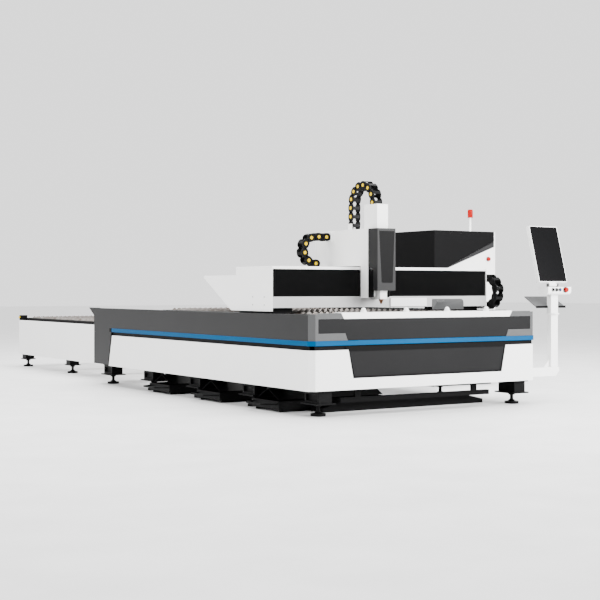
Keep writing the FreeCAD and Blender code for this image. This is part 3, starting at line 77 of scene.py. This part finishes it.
# %% [markdown]
# The camera comes first, so that every later choice can be looked at from the same place. It
# stands a little above waist height and looks level, so upright edges stay upright. The floor
# line sits slightly over the middle of the picture, which is what the small lens shift is for.

# %% Camera
VIEW_TURN = math.radians(32.5)
EYE = Vector((-7.322, -12.388, 1.065))
LENS = 73.4
HORIZON_SHIFT = -11 / 600

camera_data = bpy.data.cameras.new("camera")
camera_data.lens = LENS
camera_data.sensor_width = 36
camera_data.shift_y = HORIZON_SHIFT
camera = bpy.data.objects.new("camera", camera_data)
camera.location = EYE
camera.rotation_euler = (math.radians(90), 0, -VIEW_TURN)
bpy.context.scene.collection.objects.link(camera)
bpy.context.scene.camera = camera
print("camera at", tuple(EYE))

# %% [markdown]
# Machines like this are shown in a white room. A pale floor, a bright even sky and three large
# soft lamps give that: one broad lamp over the machine, one from the front right, and a much
# weaker one from the left, so that the front and the side wall keep different tones.

# %% Room light
SKY_STRENGTH = 1.8

world = bpy.data.worlds.new("studio")
world.use_nodes = True
sky = world.node_tree.nodes["Background"]
sky.inputs["Color"].default_value = (1.0, 1.0, 1.0, 1)
sky.inputs["Strength"].default_value = SKY_STRENGTH
bpy.context.scene.world = world


def soft_lamp(name, place, target, size, watts):
    data = bpy.data.lights.new(name, "AREA")
    data.shape = "RECTANGLE"
    data.size, data.size_y = size
    data.energy = watts
    lamp = bpy.data.objects.new(name, data)
    lamp.location = place
    lamp.rotation_euler = (Vector(target) - Vector(place)).to_track_quat("-Z", "Y").to_euler()
    bpy.context.scene.collection.objects.link(lamp)
    return lamp


soft_lamp("overhead", (0, 0, 7.5), (0, 0, 0), (9, 11), 2300)
soft_lamp("front_right", (3.5, -10, 3.2), (-0.5, -3.5, 0.7), (5, 3), 1700)
soft_lamp("left", (-8, -3, 3.0), (-1.5, 0, 0.7), (6, 3), 200)
print("lamps", len(bpy.data.lights))

# %% [markdown]
# A finish is more than a colour. Powder coat has a fine orange-peel relief and a faint cloudiness,
# so one function makes every painted or moulded finish from the same few nodes: a coarse noise
# that moves the colour slightly, and a fine noise that only tilts the surface. Values that are
# the same all over sit on the shader itself.

# %% Finishes: paint, plastic and cloth
def new_material(name):
    material = bpy.data.materials.new(name)
    material.use_nodes = True
    nodes = material.node_tree.nodes
    return material, nodes, material.node_tree.links, nodes["Principled BSDF"]


def add_noise(nodes, links, coordinates, scale, detail):
    noise = nodes.new("ShaderNodeTexNoise")
    noise.inputs["Scale"].default_value = scale
    noise.inputs["Detail"].default_value = detail
    links.new(coordinates, noise.inputs["Vector"])
    return noise


def add_bump(nodes, links, height, strength, distance, shader):
    bump = nodes.new("ShaderNodeBump")
    bump.inputs["Strength"].default_value = strength
    bump.inputs["Distance"].default_value = distance
    links.new(height, bump.inputs["Height"])
    links.new(bump.outputs["Normal"], shader.inputs["Normal"])


def mottle(nodes, links, noise, dark, light, shader):
    ramp = nodes.new("ShaderNodeValToRGB")
    ramp.color_ramp.elements[0].position = 0.3
    ramp.color_ramp.elements[0].color = (*dark, 1)
    ramp.color_ramp.elements[1].position = 0.7
    ramp.color_ramp.elements[1].color = (*light, 1)
    links.new(noise.outputs["Fac"], ramp.inputs["Fac"])
    links.new(ramp.outputs["Color"], shader.inputs["Base Color"])


def coated(name, color, roughness, spread=0.05, grain=420.0, relief=0.08, shine=0.5):
    """Powder coat or moulded plastic: clouded colour with a fine surface grain."""
    material, nodes, links, shader = new_material(name)
    coordinates = nodes.new("ShaderNodeTexCoord").outputs["Object"]
    cloud = add_noise(nodes, links, coordinates, 2.2, 3)
    dark = [c * (1 - spread) for c in color]
    light = [min(1.0, c * (1 + spread)) for c in color]
    mottle(nodes, links, cloud, dark, light, shader)
    fine = add_noise(nodes, links, coordinates, grain, 2)
    add_bump(nodes, links, fine.outputs["Fac"], relief, 0.0006, shader)
    shader.inputs["Roughness"].default_value = roughness
    shader.inputs["Specular IOR Level"].default_value = shine
    return material


WHITE = coated("white_powder_coat", (0.87, 0.87, 0.86), 0.42, spread=0.012)
SIDE_GRAY = coated("gray_powder_coat", (0.0165, 0.0165, 0.017), 0.46, shine=0.11)
FRONT_GRAY = coated("front_gray_powder_coat", (0.0062, 0.0062, 0.0066), 0.44, shine=0.07)
LIGHT_GRAY = coated("light_gray_powder_coat", (0.064, 0.065, 0.066), 0.45, shine=0.15)
PALE_GRAY = coated("pale_gray_powder_coat", (0.42, 0.42, 0.42), 0.45, shine=0.3)
DARK = coated("dark_powder_coat", (0.0035, 0.0035, 0.0037), 0.5, shine=0.035)
BLACK = coated("black_paint", (0.0025, 0.0025, 0.0027), 0.48, spread=0.15, shine=0.05)
BLUE = coated("blue_paint", (0.0, 0.057, 0.15), 0.4, shine=0.04)
CHAIN_BLACK = coated("chain_plastic", (0.003, 0.003, 0.0033), 0.5, grain=700.0, shine=0.08)
YELLOW = coated("yellow_plastic", (0.70, 0.47, 0.003), 0.45, shine=0.05)
RED = coated("red_plastic", (0.28, 0.0015, 0.001), 0.38, shine=0.08)
BUTTON_BLUE = coated("blue_plastic", (0.003, 0.035, 0.2), 0.35, shine=0.1)
SCREEN_BLACK = coated("screen_glass", (0.002, 0.002, 0.0023), 0.3, relief=0.0, shine=0.02)
BELLOWS_BLACK = coated("bellows_cloth", (0.006, 0.006, 0.0065), 0.38, grain=900.0, relief=0.15,
                       shine=0.5)
print("coated finishes", len(bpy.data.materials))

# %% [markdown]
# Bare metal is streaked rather than cloudy: grinding leaves long scratches. The same noise is
# stretched along one direction for that. The support slats inside the bed also carry heat
# tint and slag from the cuts, so their colour wanders from steel gray to brown.

# %% Finishes: bare metal
def brushed(name, color, roughness, stretch=(4.0, 260.0, 260.0), tint=None):
    material, nodes, links, shader = new_material(name)
    coordinates = nodes.new("ShaderNodeTexCoord").outputs["Object"]
    mapping = nodes.new("ShaderNodeMapping")
    mapping.inputs["Scale"].default_value = stretch
    links.new(coordinates, mapping.inputs["Vector"])
    streaks = add_noise(nodes, links, mapping.outputs["Vector"], 1.0, 3)
    other = tint or [c * 0.8 for c in color]
    mottle(nodes, links, add_noise(nodes, links, coordinates, 9.0, 4), other, color, shader)
    add_bump(nodes, links, streaks.outputs["Fac"], 0.1, 0.0004, shader)
    shader.inputs["Metallic"].default_value = 1.0
    shader.inputs["Roughness"].default_value = roughness
    return material


STEEL = brushed("ground_steel", (0.56, 0.56, 0.57), 0.34)
SLAT_STEEL = brushed("slat_steel", (0.30, 0.29, 0.28), 0.5, tint=[0.12, 0.095, 0.08])
ALUMINIUM = brushed("satin_aluminium", (0.74, 0.74, 0.75), 0.36)
COPPER = brushed("copper", (0.85, 0.42, 0.25), 0.3)
print("metal finishes done")

# %% [markdown]
# Real sheet metal never has a knife edge: a fold leaves a radius of a few millimetres that
# catches the light. A copy of each CAD piece gets small bevels on its sharp edges. One CAD
# node can hold solids of several colours, so the copy is split into its separate solids and a
# short rule picks the finish of each one from where it lies.

# %% A softened copy of a CAD piece
def islands(mesh):
    """Groups of connected faces."""
    seen = set()
    for first in mesh.faces:
        if first.index in seen:
            continue
        group, queue = [], [first]
        seen.add(first.index)
        while queue:
            face = queue.pop()
            group.append(face)
            for edge in face.edges:
                for other in edge.link_faces:
                    if other.index not in seen:
                        seen.add(other.index)
                        queue.append(other)
        yield group


def corners(faces):
    points = [v.co for face in faces for v in face.verts]
    low = Vector([min(p[i] for p in points) for i in range(3)])
    high = Vector([max(p[i] for p in points) for i in range(3)])
    return low, high


def soften(node, finishes, choose=None, radius=0.0015, name=None, merge=True):
    """Copy a CAD node, round its edges and give each solid a finish (None leaves it out)."""
    source = frame["nodes"][node]
    work = bmesh.new()
    work.from_mesh(source.data)
    bmesh.ops.remove_doubles(work, verts=work.verts, dist=1e-6)
    if merge:
        bmesh.ops.dissolve_limit(work, angle_limit=0.005, verts=work.verts, edges=work.edges)
    work.faces.ensure_lookup_table()
    work.faces.index_update()
    if choose:
        for group in list(islands(work)):
            pick = choose(*corners(group))
            if pick is None:
                loose = {vert for face in group for vert in face.verts}
                bmesh.ops.delete(work, geom=list(loose), context="VERTS")
                continue
            for face in group:
                face.material_index = pick
    if radius:
        sharp = [e for e in work.edges
                 if len(e.link_faces) == 2 and e.calc_face_angle(0) > math.radians(35)]
        bmesh.ops.bevel(work, geom=sharp, offset=radius, segments=2, profile=0.5,
                        affect="EDGES", clamp_overlap=True)
    mesh = bpy.data.meshes.new(name or node + "_finished")
    work.to_mesh(mesh)
    work.free()
    for finish in finishes:
        mesh.materials.append(finish)
    if not choose:
        for polygon in mesh.polygons:
            polygon.material_index = 0
    piece = bpy.data.objects.new(mesh.name, mesh)
    bpy.context.scene.collection.objects.link(piece)
    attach(piece, body_of[node])
    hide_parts(node)
    return piece


body_of = {node: body for body, members in frame["record"]["behaviour"]["bodies"].items()
           for node in members}
print("softening ready for", len(body_of), "nodes")

# %% [markdown]
# Pieces that are deep inside, or that are many and thin, keep their CAD mesh: they only get
# a finish. The support slats are the best case for that, because their teeth are already
# cut in the model.

# %% Finishes on pieces that keep their CAD mesh
KEPT = {
    "bed_frame": DARK,
    "rolling_track": DARK,
    "y_guides": STEEL,
    "inner_pallet_frame": DARK,
    "inner_pallet_slats": SLAT_STEEL,
    "shuttle_pallet_frame": DARK,
    "shuttle_pallet_slats": SLAT_STEEL,
    "shuttle_wheels": STEEL,
    "gantry_beam": DARK,
    "y_drives": BLACK,
    "x_guides": STEEL,
    "carriage_casting": ALUMINIUM,
    "carriage_motors": BLACK,
    "z_plate": ALUMINIUM,
}
for node, finish in KEPT.items():
    node_mesh = frame["nodes"][node].data
    node_mesh.materials.clear()
    node_mesh.materials.append(finish)
print("kept nodes", len(KEPT))

# %% [markdown]
# The outer panels of the bed. The long walls are gray, the skirts under the stripe are white,
# and the stripe itself stands a few millimetres proud so that it draws one clean line round
# the front. The front frame is a lighter gray, with a darker fascia set into it.

# %% Bed panels
def size_of(low, high):
    return high - low


soften("side_panels", [SIDE_GRAY])
soften("skirts", [WHITE], merge=False)
soften("blue_stripe", [BLUE], radius=0.002)
# Painted shade: the dark finish on the recess under the stripe stands in for the shadow below the
# proud stripe.
soften("stripe_recess", [DARK])
soften("front_fascia", [FRONT_GRAY], radius=0.003)
soften("front_ledge", [WHITE], radius=0.0018)
soften("front_frame", [LIGHT_GRAY, DARK],
       lambda low, high: 1 if size_of(low, high).x > 2.3 else 0)
soften("access_panel", [DARK, FRONT_GRAY],
       lambda low, high: 1 if size_of(low, high).y > 0.03 else 0, radius=0.001)
soften("foot_brackets", [BLACK], radius=0.002)
soften("levelling_feet", [BLACK], radius=0.0)
print("bed panels done")

# %% [markdown]
# The exchange table stands behind the bed. Its panels are white like the skirts. The end
# stops are black, and the small pallet sensor on the left stop is yellow.

# %% Exchange table
soften("table_panels", [WHITE], radius=0.0, merge=False)
soften("table_frame", [DARK, YELLOW],
       lambda low, high: 1 if max(size_of(low, high)) < 0.05 else 0)
print("table done")

# %% [markdown]
# Gantry covers are white outside. Under the bellows runs a light-gray cover, with a white
# housing and a gray bracket plate on it. The screws in the end covers stay dark.

# %% Gantry covers
def front_cover_finish(low, high):
    width = size_of(low, high).x
    if width > 1.0:
        return 0
    return 1 if low.x < -0.3 else 2


soften("gantry_top_cover", [WHITE], radius=0.002)
soften("gantry_end_covers", [WHITE, BLACK],
       lambda low, high: 1 if max(size_of(low, high)) < 0.05 else 0, radius=0.002)
soften("gantry_front_cover", [PALE_GRAY, WHITE, LIGHT_GRAY], front_cover_finish)
print("gantry covers done")

# %% [markdown]
# The carriage straddles the beam in a tall white housing. The head cover in front of it is
# gray, with a darker inlay on its face; behind its narrow lower half black cheeks guard the
# vertical slide. The cutting head ends in a copper nozzle.

# %% Carriage and cutting head
HEAD_GRAY = coated("head_cover_gray", (0.013, 0.013, 0.0135), 0.4, shine=0.12)
soften("carriage_housing", [WHITE], radius=0.002)
soften("z_crown", [WHITE], radius=0.002)
soften("z_guard", [BLACK])
soften("head_cover", [HEAD_GRAY, BLACK],
       lambda low, high: 1 if size_of(low, high).y < 0.02 else 0, radius=0.002)
soften("cutting_head", [WHITE, COPPER],
       lambda low, high: 1 if size_of(low, high).z < 0.05 else 0)
print("carriage done")

# %% [markdown]
# Scrap falls through the slats onto ridged deflectors and into drawers that pull out on the
# left. All of this is black painted steel close to the floor.

# %% Scrap drawers
soften("scrap_hoppers", [BLACK])
soften("scrap_pan", [DARK], radius=0.002)
for number in (1, 2, 3):
    soften("scrap_drawer_%d" % number, [BLACK])
print("scrap pieces done")

# %% [markdown]
# The power cabinet is white below and dark above; a gray wedge lies between the two tones on
# its front. The operator console is a white post with a dark screen and a gray tray.

# %% Cabinet and console
def cabinet_finish(low, high):
    size = size_of(low, high)
    if max(size) < 0.1:
        return 2
    return 1 if size.z < 0.1 else 0


def cabinet_panel_finish(low, high):
    size = size_of(low, high)
    if size.y > 1.5:
        return 0
    return 1 if size.y < 0.05 else 2


soften("cabinet_case", [WHITE, DARK, BLACK], cabinet_finish, radius=0.002)
soften("cabinet_panels", [DARK, SIDE_GRAY, LIGHT_GRAY], cabinet_panel_finish)
for end in ("front", "rear"):
    soften("cabinet_door_" + end, [WHITE, BLACK],
           lambda low, high: 1 if size_of(low, high).z < 0.5 else 0, radius=0.002)
soften("beacon", [WHITE, RED], lambda low, high: 1 if size_of(low, high).z < 0.12 else 0,
       radius=0.0)
soften("console_arm", [WHITE, BLACK],
       lambda low, high: 1 if size_of(low, high).y < 0.12 and low.y > -3.0 else 0, radius=0.003)
soften("control_box", [WHITE, BLACK],
       lambda low, high: 1 if max(size_of(low, high)) < 0.06 or size_of(low, high).y < 0.03
       else 0, radius=0.002)
GLASS_AREA = 0.08
screen_piece = soften("screen", [WHITE, SCREEN_BLACK])
for polygon in screen_piece.data.polygons:
    if polygon.area > GLASS_AREA and polygon.normal.y < -0.5:
        polygon.material_index = 1
soften("keyboard_tray", [LIGHT_GRAY, DARK],
       lambda low, high: 1 if size_of(low, high).z < 0.04 else 0)
soften("cabinet_stop_button", [RED], radius=0.001)
soften("console_stop_button", [RED], radius=0.001)
soften("console_button_1", [BLACK], radius=0.0006)
soften("console_button_2", [BLACK], radius=0.0006)
soften("console_button_3", [BUTTON_BLUE], radius=0.0006)
print("cabinet and console done")

# %% [markdown]
# Bellows are many equal folds, so Geometry Nodes make them: a line of points, and on each point
# one upright fold with a diamond section. The tree has named inputs for the number of
# folds and their three sizes. Instances are realized at the end, so the result is real geometry.

# %% A small helper for node trees
def new_tree(name, inputs):
    """A Geometry Nodes tree with typed inputs; returns the tree and its two end nodes."""
    tree = bpy.data.node_groups.new(name, "GeometryNodeTree")
    tree.interface.new_socket("Geometry", in_out="INPUT", socket_type="NodeSocketGeometry")
    for label, kind in inputs:
        tree.interface.new_socket(label, in_out="INPUT", socket_type=kind)
    tree.interface.new_socket("Geometry", in_out="OUTPUT", socket_type="NodeSocketGeometry")
    return tree, tree.nodes.new("NodeGroupInput"), tree.nodes.new("NodeGroupOutput")


def socket_names(tree):
    return {item.name: item.identifier for item in tree.interface.items_tree
            if item.in_out == "INPUT"}


def run_tree(tree, base, values, name):
    """Evaluate the tree on a base object and keep the result as a plain mesh piece."""
    modifier = base.modifiers.new("nodes", "NODES")
    modifier.node_group = tree
    identifiers = socket_names(tree)
    for label, value in values.items():
        modifier[identifiers[label]] = value
    bpy.context.view_layer.update()
    depsgraph = bpy.context.evaluated_depsgraph_get()
    mesh = bpy.data.meshes.new_from_object(base.evaluated_get(depsgraph), depsgraph=depsgraph)
    base.modifiers.remove(modifier)
    bpy.data.objects.remove(base)
    mesh.name = name
    piece = bpy.data.objects.new(name, mesh)
    bpy.context.scene.collection.objects.link(piece)
    return piece


print("tree helpers ready")

# %% The bellows tree
pleats, pleats_in, pleats_out = new_tree("pleat_row", [
    ("Folds", "NodeSocketInt"), ("Pitch", "NodeSocketFloat"), ("Depth", "NodeSocketFloat"),
    ("Height", "NodeSocketFloat"), ("Start", "NodeSocketVector"),
    ("Finish", "NodeSocketMaterial")])
join = pleats.links.new
DIAGONAL = math.sqrt(2)

step = pleats.nodes.new("ShaderNodeCombineXYZ")
join(pleats_in.outputs["Pitch"], step.inputs["X"])
row = pleats.nodes.new("GeometryNodeMeshLine")
join(pleats_in.outputs["Folds"], row.inputs["Count"])
join(pleats_in.outputs["Start"], row.inputs["Start Location"])
join(step.outputs["Vector"], row.inputs["Offset"])

fold_size = pleats.nodes.new("ShaderNodeCombineXYZ")
for label, axis in (("Pitch", "X"), ("Depth", "Y")):
    divide = pleats.nodes.new("ShaderNodeMath")
    divide.operation = "DIVIDE"
    join(pleats_in.outputs[label], divide.inputs[0])
    divide.inputs[1].default_value = DIAGONAL
    join(divide.outputs[0], fold_size.inputs[axis])
join(pleats_in.outputs["Height"], fold_size.inputs["Z"])

fold = pleats.nodes.new("GeometryNodeMeshCube")
turn = pleats.nodes.new("GeometryNodeTransform")
turn.inputs["Rotation"].default_value = (0, 0, math.radians(45))
join(fold.outputs["Mesh"], turn.inputs["Geometry"])
place = pleats.nodes.new("GeometryNodeInstanceOnPoints")
join(row.outputs["Mesh"], place.inputs["Points"])
join(turn.outputs["Geometry"], place.inputs["Instance"])
join(fold_size.outputs["Vector"], place.inputs["Scale"])
real = pleats.nodes.new("GeometryNodeRealizeInstances")
join(place.outputs["Instances"], real.inputs["Geometry"])
paint = pleats.nodes.new("GeometryNodeSetMaterial")
join(real.outputs["Geometry"], paint.inputs["Geometry"])
join(pleats_in.outputs["Finish"], paint.inputs["Material"])
join(paint.outputs["Geometry"], pleats_out.inputs["Geometry"])
print("bellows tree nodes", len(pleats.nodes))

# %% [markdown]
# Each bellows fills the box of its CAD solid.

# %% The two bellows
FOLD_PITCH = 0.022


def bellows(node):
    low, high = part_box(node)
    length = high.x - low.x
    folds = round(length / FOLD_PITCH)
    pitch = length / folds
    base = bpy.data.objects.new("pleat_base", bpy.data.meshes.new("pleat_base"))
    bpy.context.scene.collection.objects.link(base)
    depth = high.y - low.y
    values = {"Folds": folds, "Pitch": pitch, "Depth": depth, "Height": high.z - low.z,
              "Start": (low.x + pitch / 2, (low.y + high.y) / 2, (low.z + high.z) / 2),
              "Finish": BELLOWS_BLACK}
    piece = run_tree(pleats, base, values, node + "_folds")
    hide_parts(node)
    return piece, low, high


left_folds, low, high = bellows("bellows_left")
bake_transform(left_folds)
right_folds, low, high = bellows("bellows_right")
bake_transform(right_folds)
print("folds", len(left_folds.data.polygons), len(right_folds.data.polygons))

# %% [markdown]
# An energy chain is one moulded link repeated along a path: two oblong side plates, a bar
# across the top and one across the bottom. The link is modelled once, lying along X.
# Its yellow cap is a second small shape, placed on both side plates by a second run.

# %% One chain link and its cap
LINK_PITCH = 0.08
LINK_L = LINK_PITCH * 1.18
PLATE_T = 0.008
BAR_W = 0.03
BAR_T = 0.008
BAR_IN = 0.005
CHAIN_H = 0.0755
CHAIN_W = 0.086
CAP_R = 0.016
CAP_T = 0.006
CAP_SUNK = 0.0005


def oblong(work, length, height, y0, y1, turns=8):
    """A plate with round ends, between two Y planes."""
    half = (length - height) / 2
    ring = []
    for side in (1, -1):
        for i in range(turns + 1):
            angle = math.radians(-90 + 180 * i / turns)
            ring.append((side * (half + height / 2 * math.cos(angle)),
                         side * height / 2 * math.sin(angle)))
    near = [work.verts.new((x, y0, z)) for x, z in ring]
    far = [work.verts.new((x, y1, z)) for x, z in ring]
    work.faces.new(near)
    work.faces.new(list(reversed(far)))
    for i in range(len(ring)):
        k = (i + 1) % len(ring)
        work.faces.new((near[i], far[i], far[k], near[k]))


def mesh_from(work, name):
    bmesh.ops.recalc_face_normals(work, faces=work.faces)
    mesh = bpy.data.meshes.new(name)
    work.to_mesh(mesh)
    work.free()
    return mesh


def link_item(height, width):
    work = bmesh.new()
    for y in (-width / 2, width / 2 - PLATE_T):
        oblong(work, LINK_L, height, y, y + PLATE_T)
    for z in (-height / 2 + BAR_IN, height / 2 - BAR_IN):
        spot = Matrix.Translation((0, 0, z))
        size = Matrix.Diagonal((BAR_W, width - 2 * PLATE_T, BAR_T, 1))
        bmesh.ops.create_cube(work, size=1, matrix=spot @ size)
    return mesh_from(work, "link")


def cap_item(radius, width):
    work = bmesh.new()
    for side in (-1, 1):
        turn_cap = Matrix.Rotation(math.radians(90), 4, "X")
        spot = Matrix.Translation((0, side * (width / 2 - CAP_SUNK), 0))
        bmesh.ops.create_cone(work, cap_ends=True, segments=20, radius1=radius,
                              radius2=radius, depth=CAP_T, matrix=spot @ turn_cap)
    return mesh_from(work, "cap")


print("link items ready")

# %% [markdown]
# The tree that strings links along a path is short: the path becomes evenly spaced points,
# each point turns the link so that its length follows the path, and the links are realized.

# %% The chain tree
string, string_in, string_out = new_tree("link_string", [
    ("Link", "NodeSocketObject"), ("Pitch", "NodeSocketFloat"),
    ("Finish", "NodeSocketMaterial")])
join = string.links.new
points = string.nodes.new("GeometryNodeCurveToPoints")
points.mode = "LENGTH"
join(string_in.outputs["Geometry"], points.inputs["Curve"])
join(string_in.outputs["Pitch"], points.inputs["Length"])
aim = string.nodes.new("FunctionNodeAlignRotationToVector")
aim.axis = "X"
aim.pivot_axis = "Y"
join(points.outputs["Tangent"], aim.inputs["Vector"])
item = string.nodes.new("GeometryNodeObjectInfo")
join(string_in.outputs["Link"], item.inputs["Object"])
place = string.nodes.new("GeometryNodeInstanceOnPoints")
join(points.outputs["Points"], place.inputs["Points"])
join(item.outputs["Geometry"], place.inputs["Instance"])
join(aim.outputs["Rotation"], place.inputs["Rotation"])
real = string.nodes.new("GeometryNodeRealizeInstances")
join(place.outputs["Instances"], real.inputs["Geometry"])
paint = string.nodes.new("GeometryNodeSetMaterial")
join(real.outputs["Geometry"], paint.inputs["Geometry"])
join(string_in.outputs["Finish"], paint.inputs["Material"])
join(paint.outputs["Geometry"], string_out.inputs["Geometry"])
print("chain tree nodes", len(string.nodes))


# %% Lay a chain along a flat path
def strung(name, path, shape, finish, matrix):
    """Links or caps along a path in the XZ plane, then moved into place."""
    curve = bpy.data.curves.new(name + "_path", "CURVE")
    curve.dimensions = "3D"
    spline = curve.splines.new("POLY")
    spline.points.add(len(path) - 1)
    for point, (x, z) in zip(spline.points, path):
        point.co = (x, 0, z, 1)
    base = bpy.data.objects.new(name + "_path", curve)
    bpy.context.scene.collection.objects.link(base)
    holder = bpy.data.objects.new("link_shape", shape)
    bpy.context.scene.collection.objects.link(holder)
    piece = run_tree(string, base, {"Link": holder, "Pitch": LINK_PITCH, "Finish": finish}, name)
    bpy.data.objects.remove(holder)
    piece.data.transform(matrix)
    return piece


def bend(cx, cz, radius, start, sweep, steps=24):
    """Points of an arc in the XZ plane; angles in degrees from +X towards +Z."""
    angles = [math.radians(start + sweep * i / steps) for i in range(steps + 1)]
    return [(cx + radius * math.cos(a), cz + radius * math.sin(a)) for a in angles]


def chain(name, path, matrix, caps=True):
    """The links, and if asked for the yellow caps, of one chain."""
    made = [strung(name, path, link_item(CHAIN_H, CHAIN_W), CHAIN_BLACK, matrix)]
    if caps:
        made.append(strung(name + "_caps", path, cap_item(CAP_R, CHAIN_W), YELLOW, matrix))
    return made


print("chain function ready")

# %% [markdown]
# Three chains follow the CAD boxes. The chain of the carriage lies along the beam and loops
# over itself; the chain of the gantry runs along the right side of the bed; the chain of the
# head arches over the carriage. Where a bracket shares the CAD piece of a chain, the bracket
# keeps its CAD shape and only the chain is drawn again.

# %% Chain along the beam
LINK_HALF = 0.038
END_INSET = 0.045
RUN_CLEAR = 0.003
BEAM_BEND_R = 0.1625
BEAM_UPPER_RUN = 0.164
BEAM_RUN_INSET = 0.05


def along_x(y):
    return Matrix.Translation((0, y, 0))


def along_y(x):
    return Matrix.Translation((x, 0, 0)) @ Matrix.Rotation(math.radians(90), 4, "Z")


def keep_chain(pieces, body, node):
    for piece in pieces:
        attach(piece, body)
        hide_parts(node)


low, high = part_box("x_chain_lower")
middle_y = (low.y + high.y) / 2
lower_z = (low.z + high.z) / 2
run = [(low.x + BEAM_RUN_INSET, lower_z), (high.x - BEAM_RUN_INSET, lower_z)]
keep_chain(chain("beam_chain_lower", run, along_x(middle_y)),
           "gantry", "x_chain_lower")

low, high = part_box("x_chain_loop")
centre_x = low.x + BEAM_BEND_R
centre_z = lower_z + LINK_HALF + RUN_CLEAR + BEAM_BEND_R
radius = BEAM_BEND_R - LINK_HALF
run = [(centre_x + BEAM_UPPER_RUN - END_INSET, centre_z + radius)]
run += bend(centre_x, centre_z, radius, 90, 180)
keep_chain(chain("beam_chain_loop", run, along_x(middle_y)),
           "carriage", "x_chain_loop")
soften("x_chain_loop", [WHITE], lambda low, high: 0 if size_of(low, high).x < 0.05 else None,
       name="beam_chain_bracket")
print("beam chain done")

# %% Chain along the bed
TRAY_FLOOR = 0.006
TRAY_SIDE = 0.061
TRAY_INSET = 0.02
TRAY_LIP_H = 0.036
BED_BEND_R = 0.172
BED_UPPER_RUN = 0.268

low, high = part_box("y_chain_loop")
tray_low, tray_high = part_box("y_chain_lower")
middle_x = tray_low.x + TRAY_SIDE
lower_z = tray_low.z + TRAY_FLOOR + LINK_HALF
centre_y = low.y + BED_BEND_R
centre_z = lower_z + LINK_HALF + RUN_CLEAR + BED_BEND_R
radius = BED_BEND_R - LINK_HALF
inset = TRAY_INSET + END_INSET
run = [(tray_low.y + inset, lower_z), (tray_high.y - inset, lower_z)]
keep_chain(chain("bed_chain_lower", run, along_y(middle_x), caps=False),
           "base", "y_chain_lower")
soften("y_chain_lower", [SIDE_GRAY],
       lambda low, high: 0 if high.z < tray_low.z + TRAY_LIP_H + 0.001 else None,
       name="bed_chain_tray")
run = [(centre_y + BED_UPPER_RUN - END_INSET, centre_z + radius)]
run += bend(centre_y, centre_z, radius, 90, 180)
keep_chain(chain("bed_chain_loop", run, along_y(middle_x), caps=False),
           "gantry", "y_chain_loop")
soften("y_chain_loop", [WHITE],
       lambda low, high: 0 if size_of(low, high).y < 0.2 else None, name="bed_chain_bracket")
print("bed chain done")

low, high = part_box("z_chain")
middle_x = (low.x + high.x) / 2
outer = (high.y - low.y) / 2
centre_y, centre_z = (low.y + high.y) / 2, high.z - outer
radius = outer - LINK_HALF
run = [(centre_y + radius, low.z + END_INSET)]
run += bend(centre_y, centre_z, radius, 0, 180)
head_chain = chain("head_chain", run, along_y(middle_x))
for piece in head_chain:
    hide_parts("z_chain")
    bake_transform(piece)
print("head chain done")

# %% [markdown]
# A pale floor far larger than the machine finishes the set; it fades into the white sky. The
# last lines write down the box of the model as loaded and the box as finished, so the two can
# be compared.

# %% Floor
FLOOR_HALF = 60.0
corner_points = [(x, y, 0) for x, y in ((-FLOOR_HALF, -FLOOR_HALF), (FLOOR_HALF, -FLOOR_HALF),
                                        (FLOOR_HALF, FLOOR_HALF), (-FLOOR_HALF, FLOOR_HALF))]
floor_mesh = bpy.data.meshes.new("floor")
floor_mesh.from_pydata(corner_points, [], [(0, 1, 2, 3)])
floor_mesh.materials.append(coated("floor_paint", (0.80, 0.80, 0.80), 0.45, relief=0.0))
floor = bpy.data.objects.new("floor", floor_mesh)
bpy.context.scene.collection.objects.link(floor)
floor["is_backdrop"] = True
print("floor laid")

# %% Sizes
sizes = {"as_loaded": [list(corner) for corner in cad_box],
         "as_finished": [list(corner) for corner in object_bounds()]}
print(sizes)
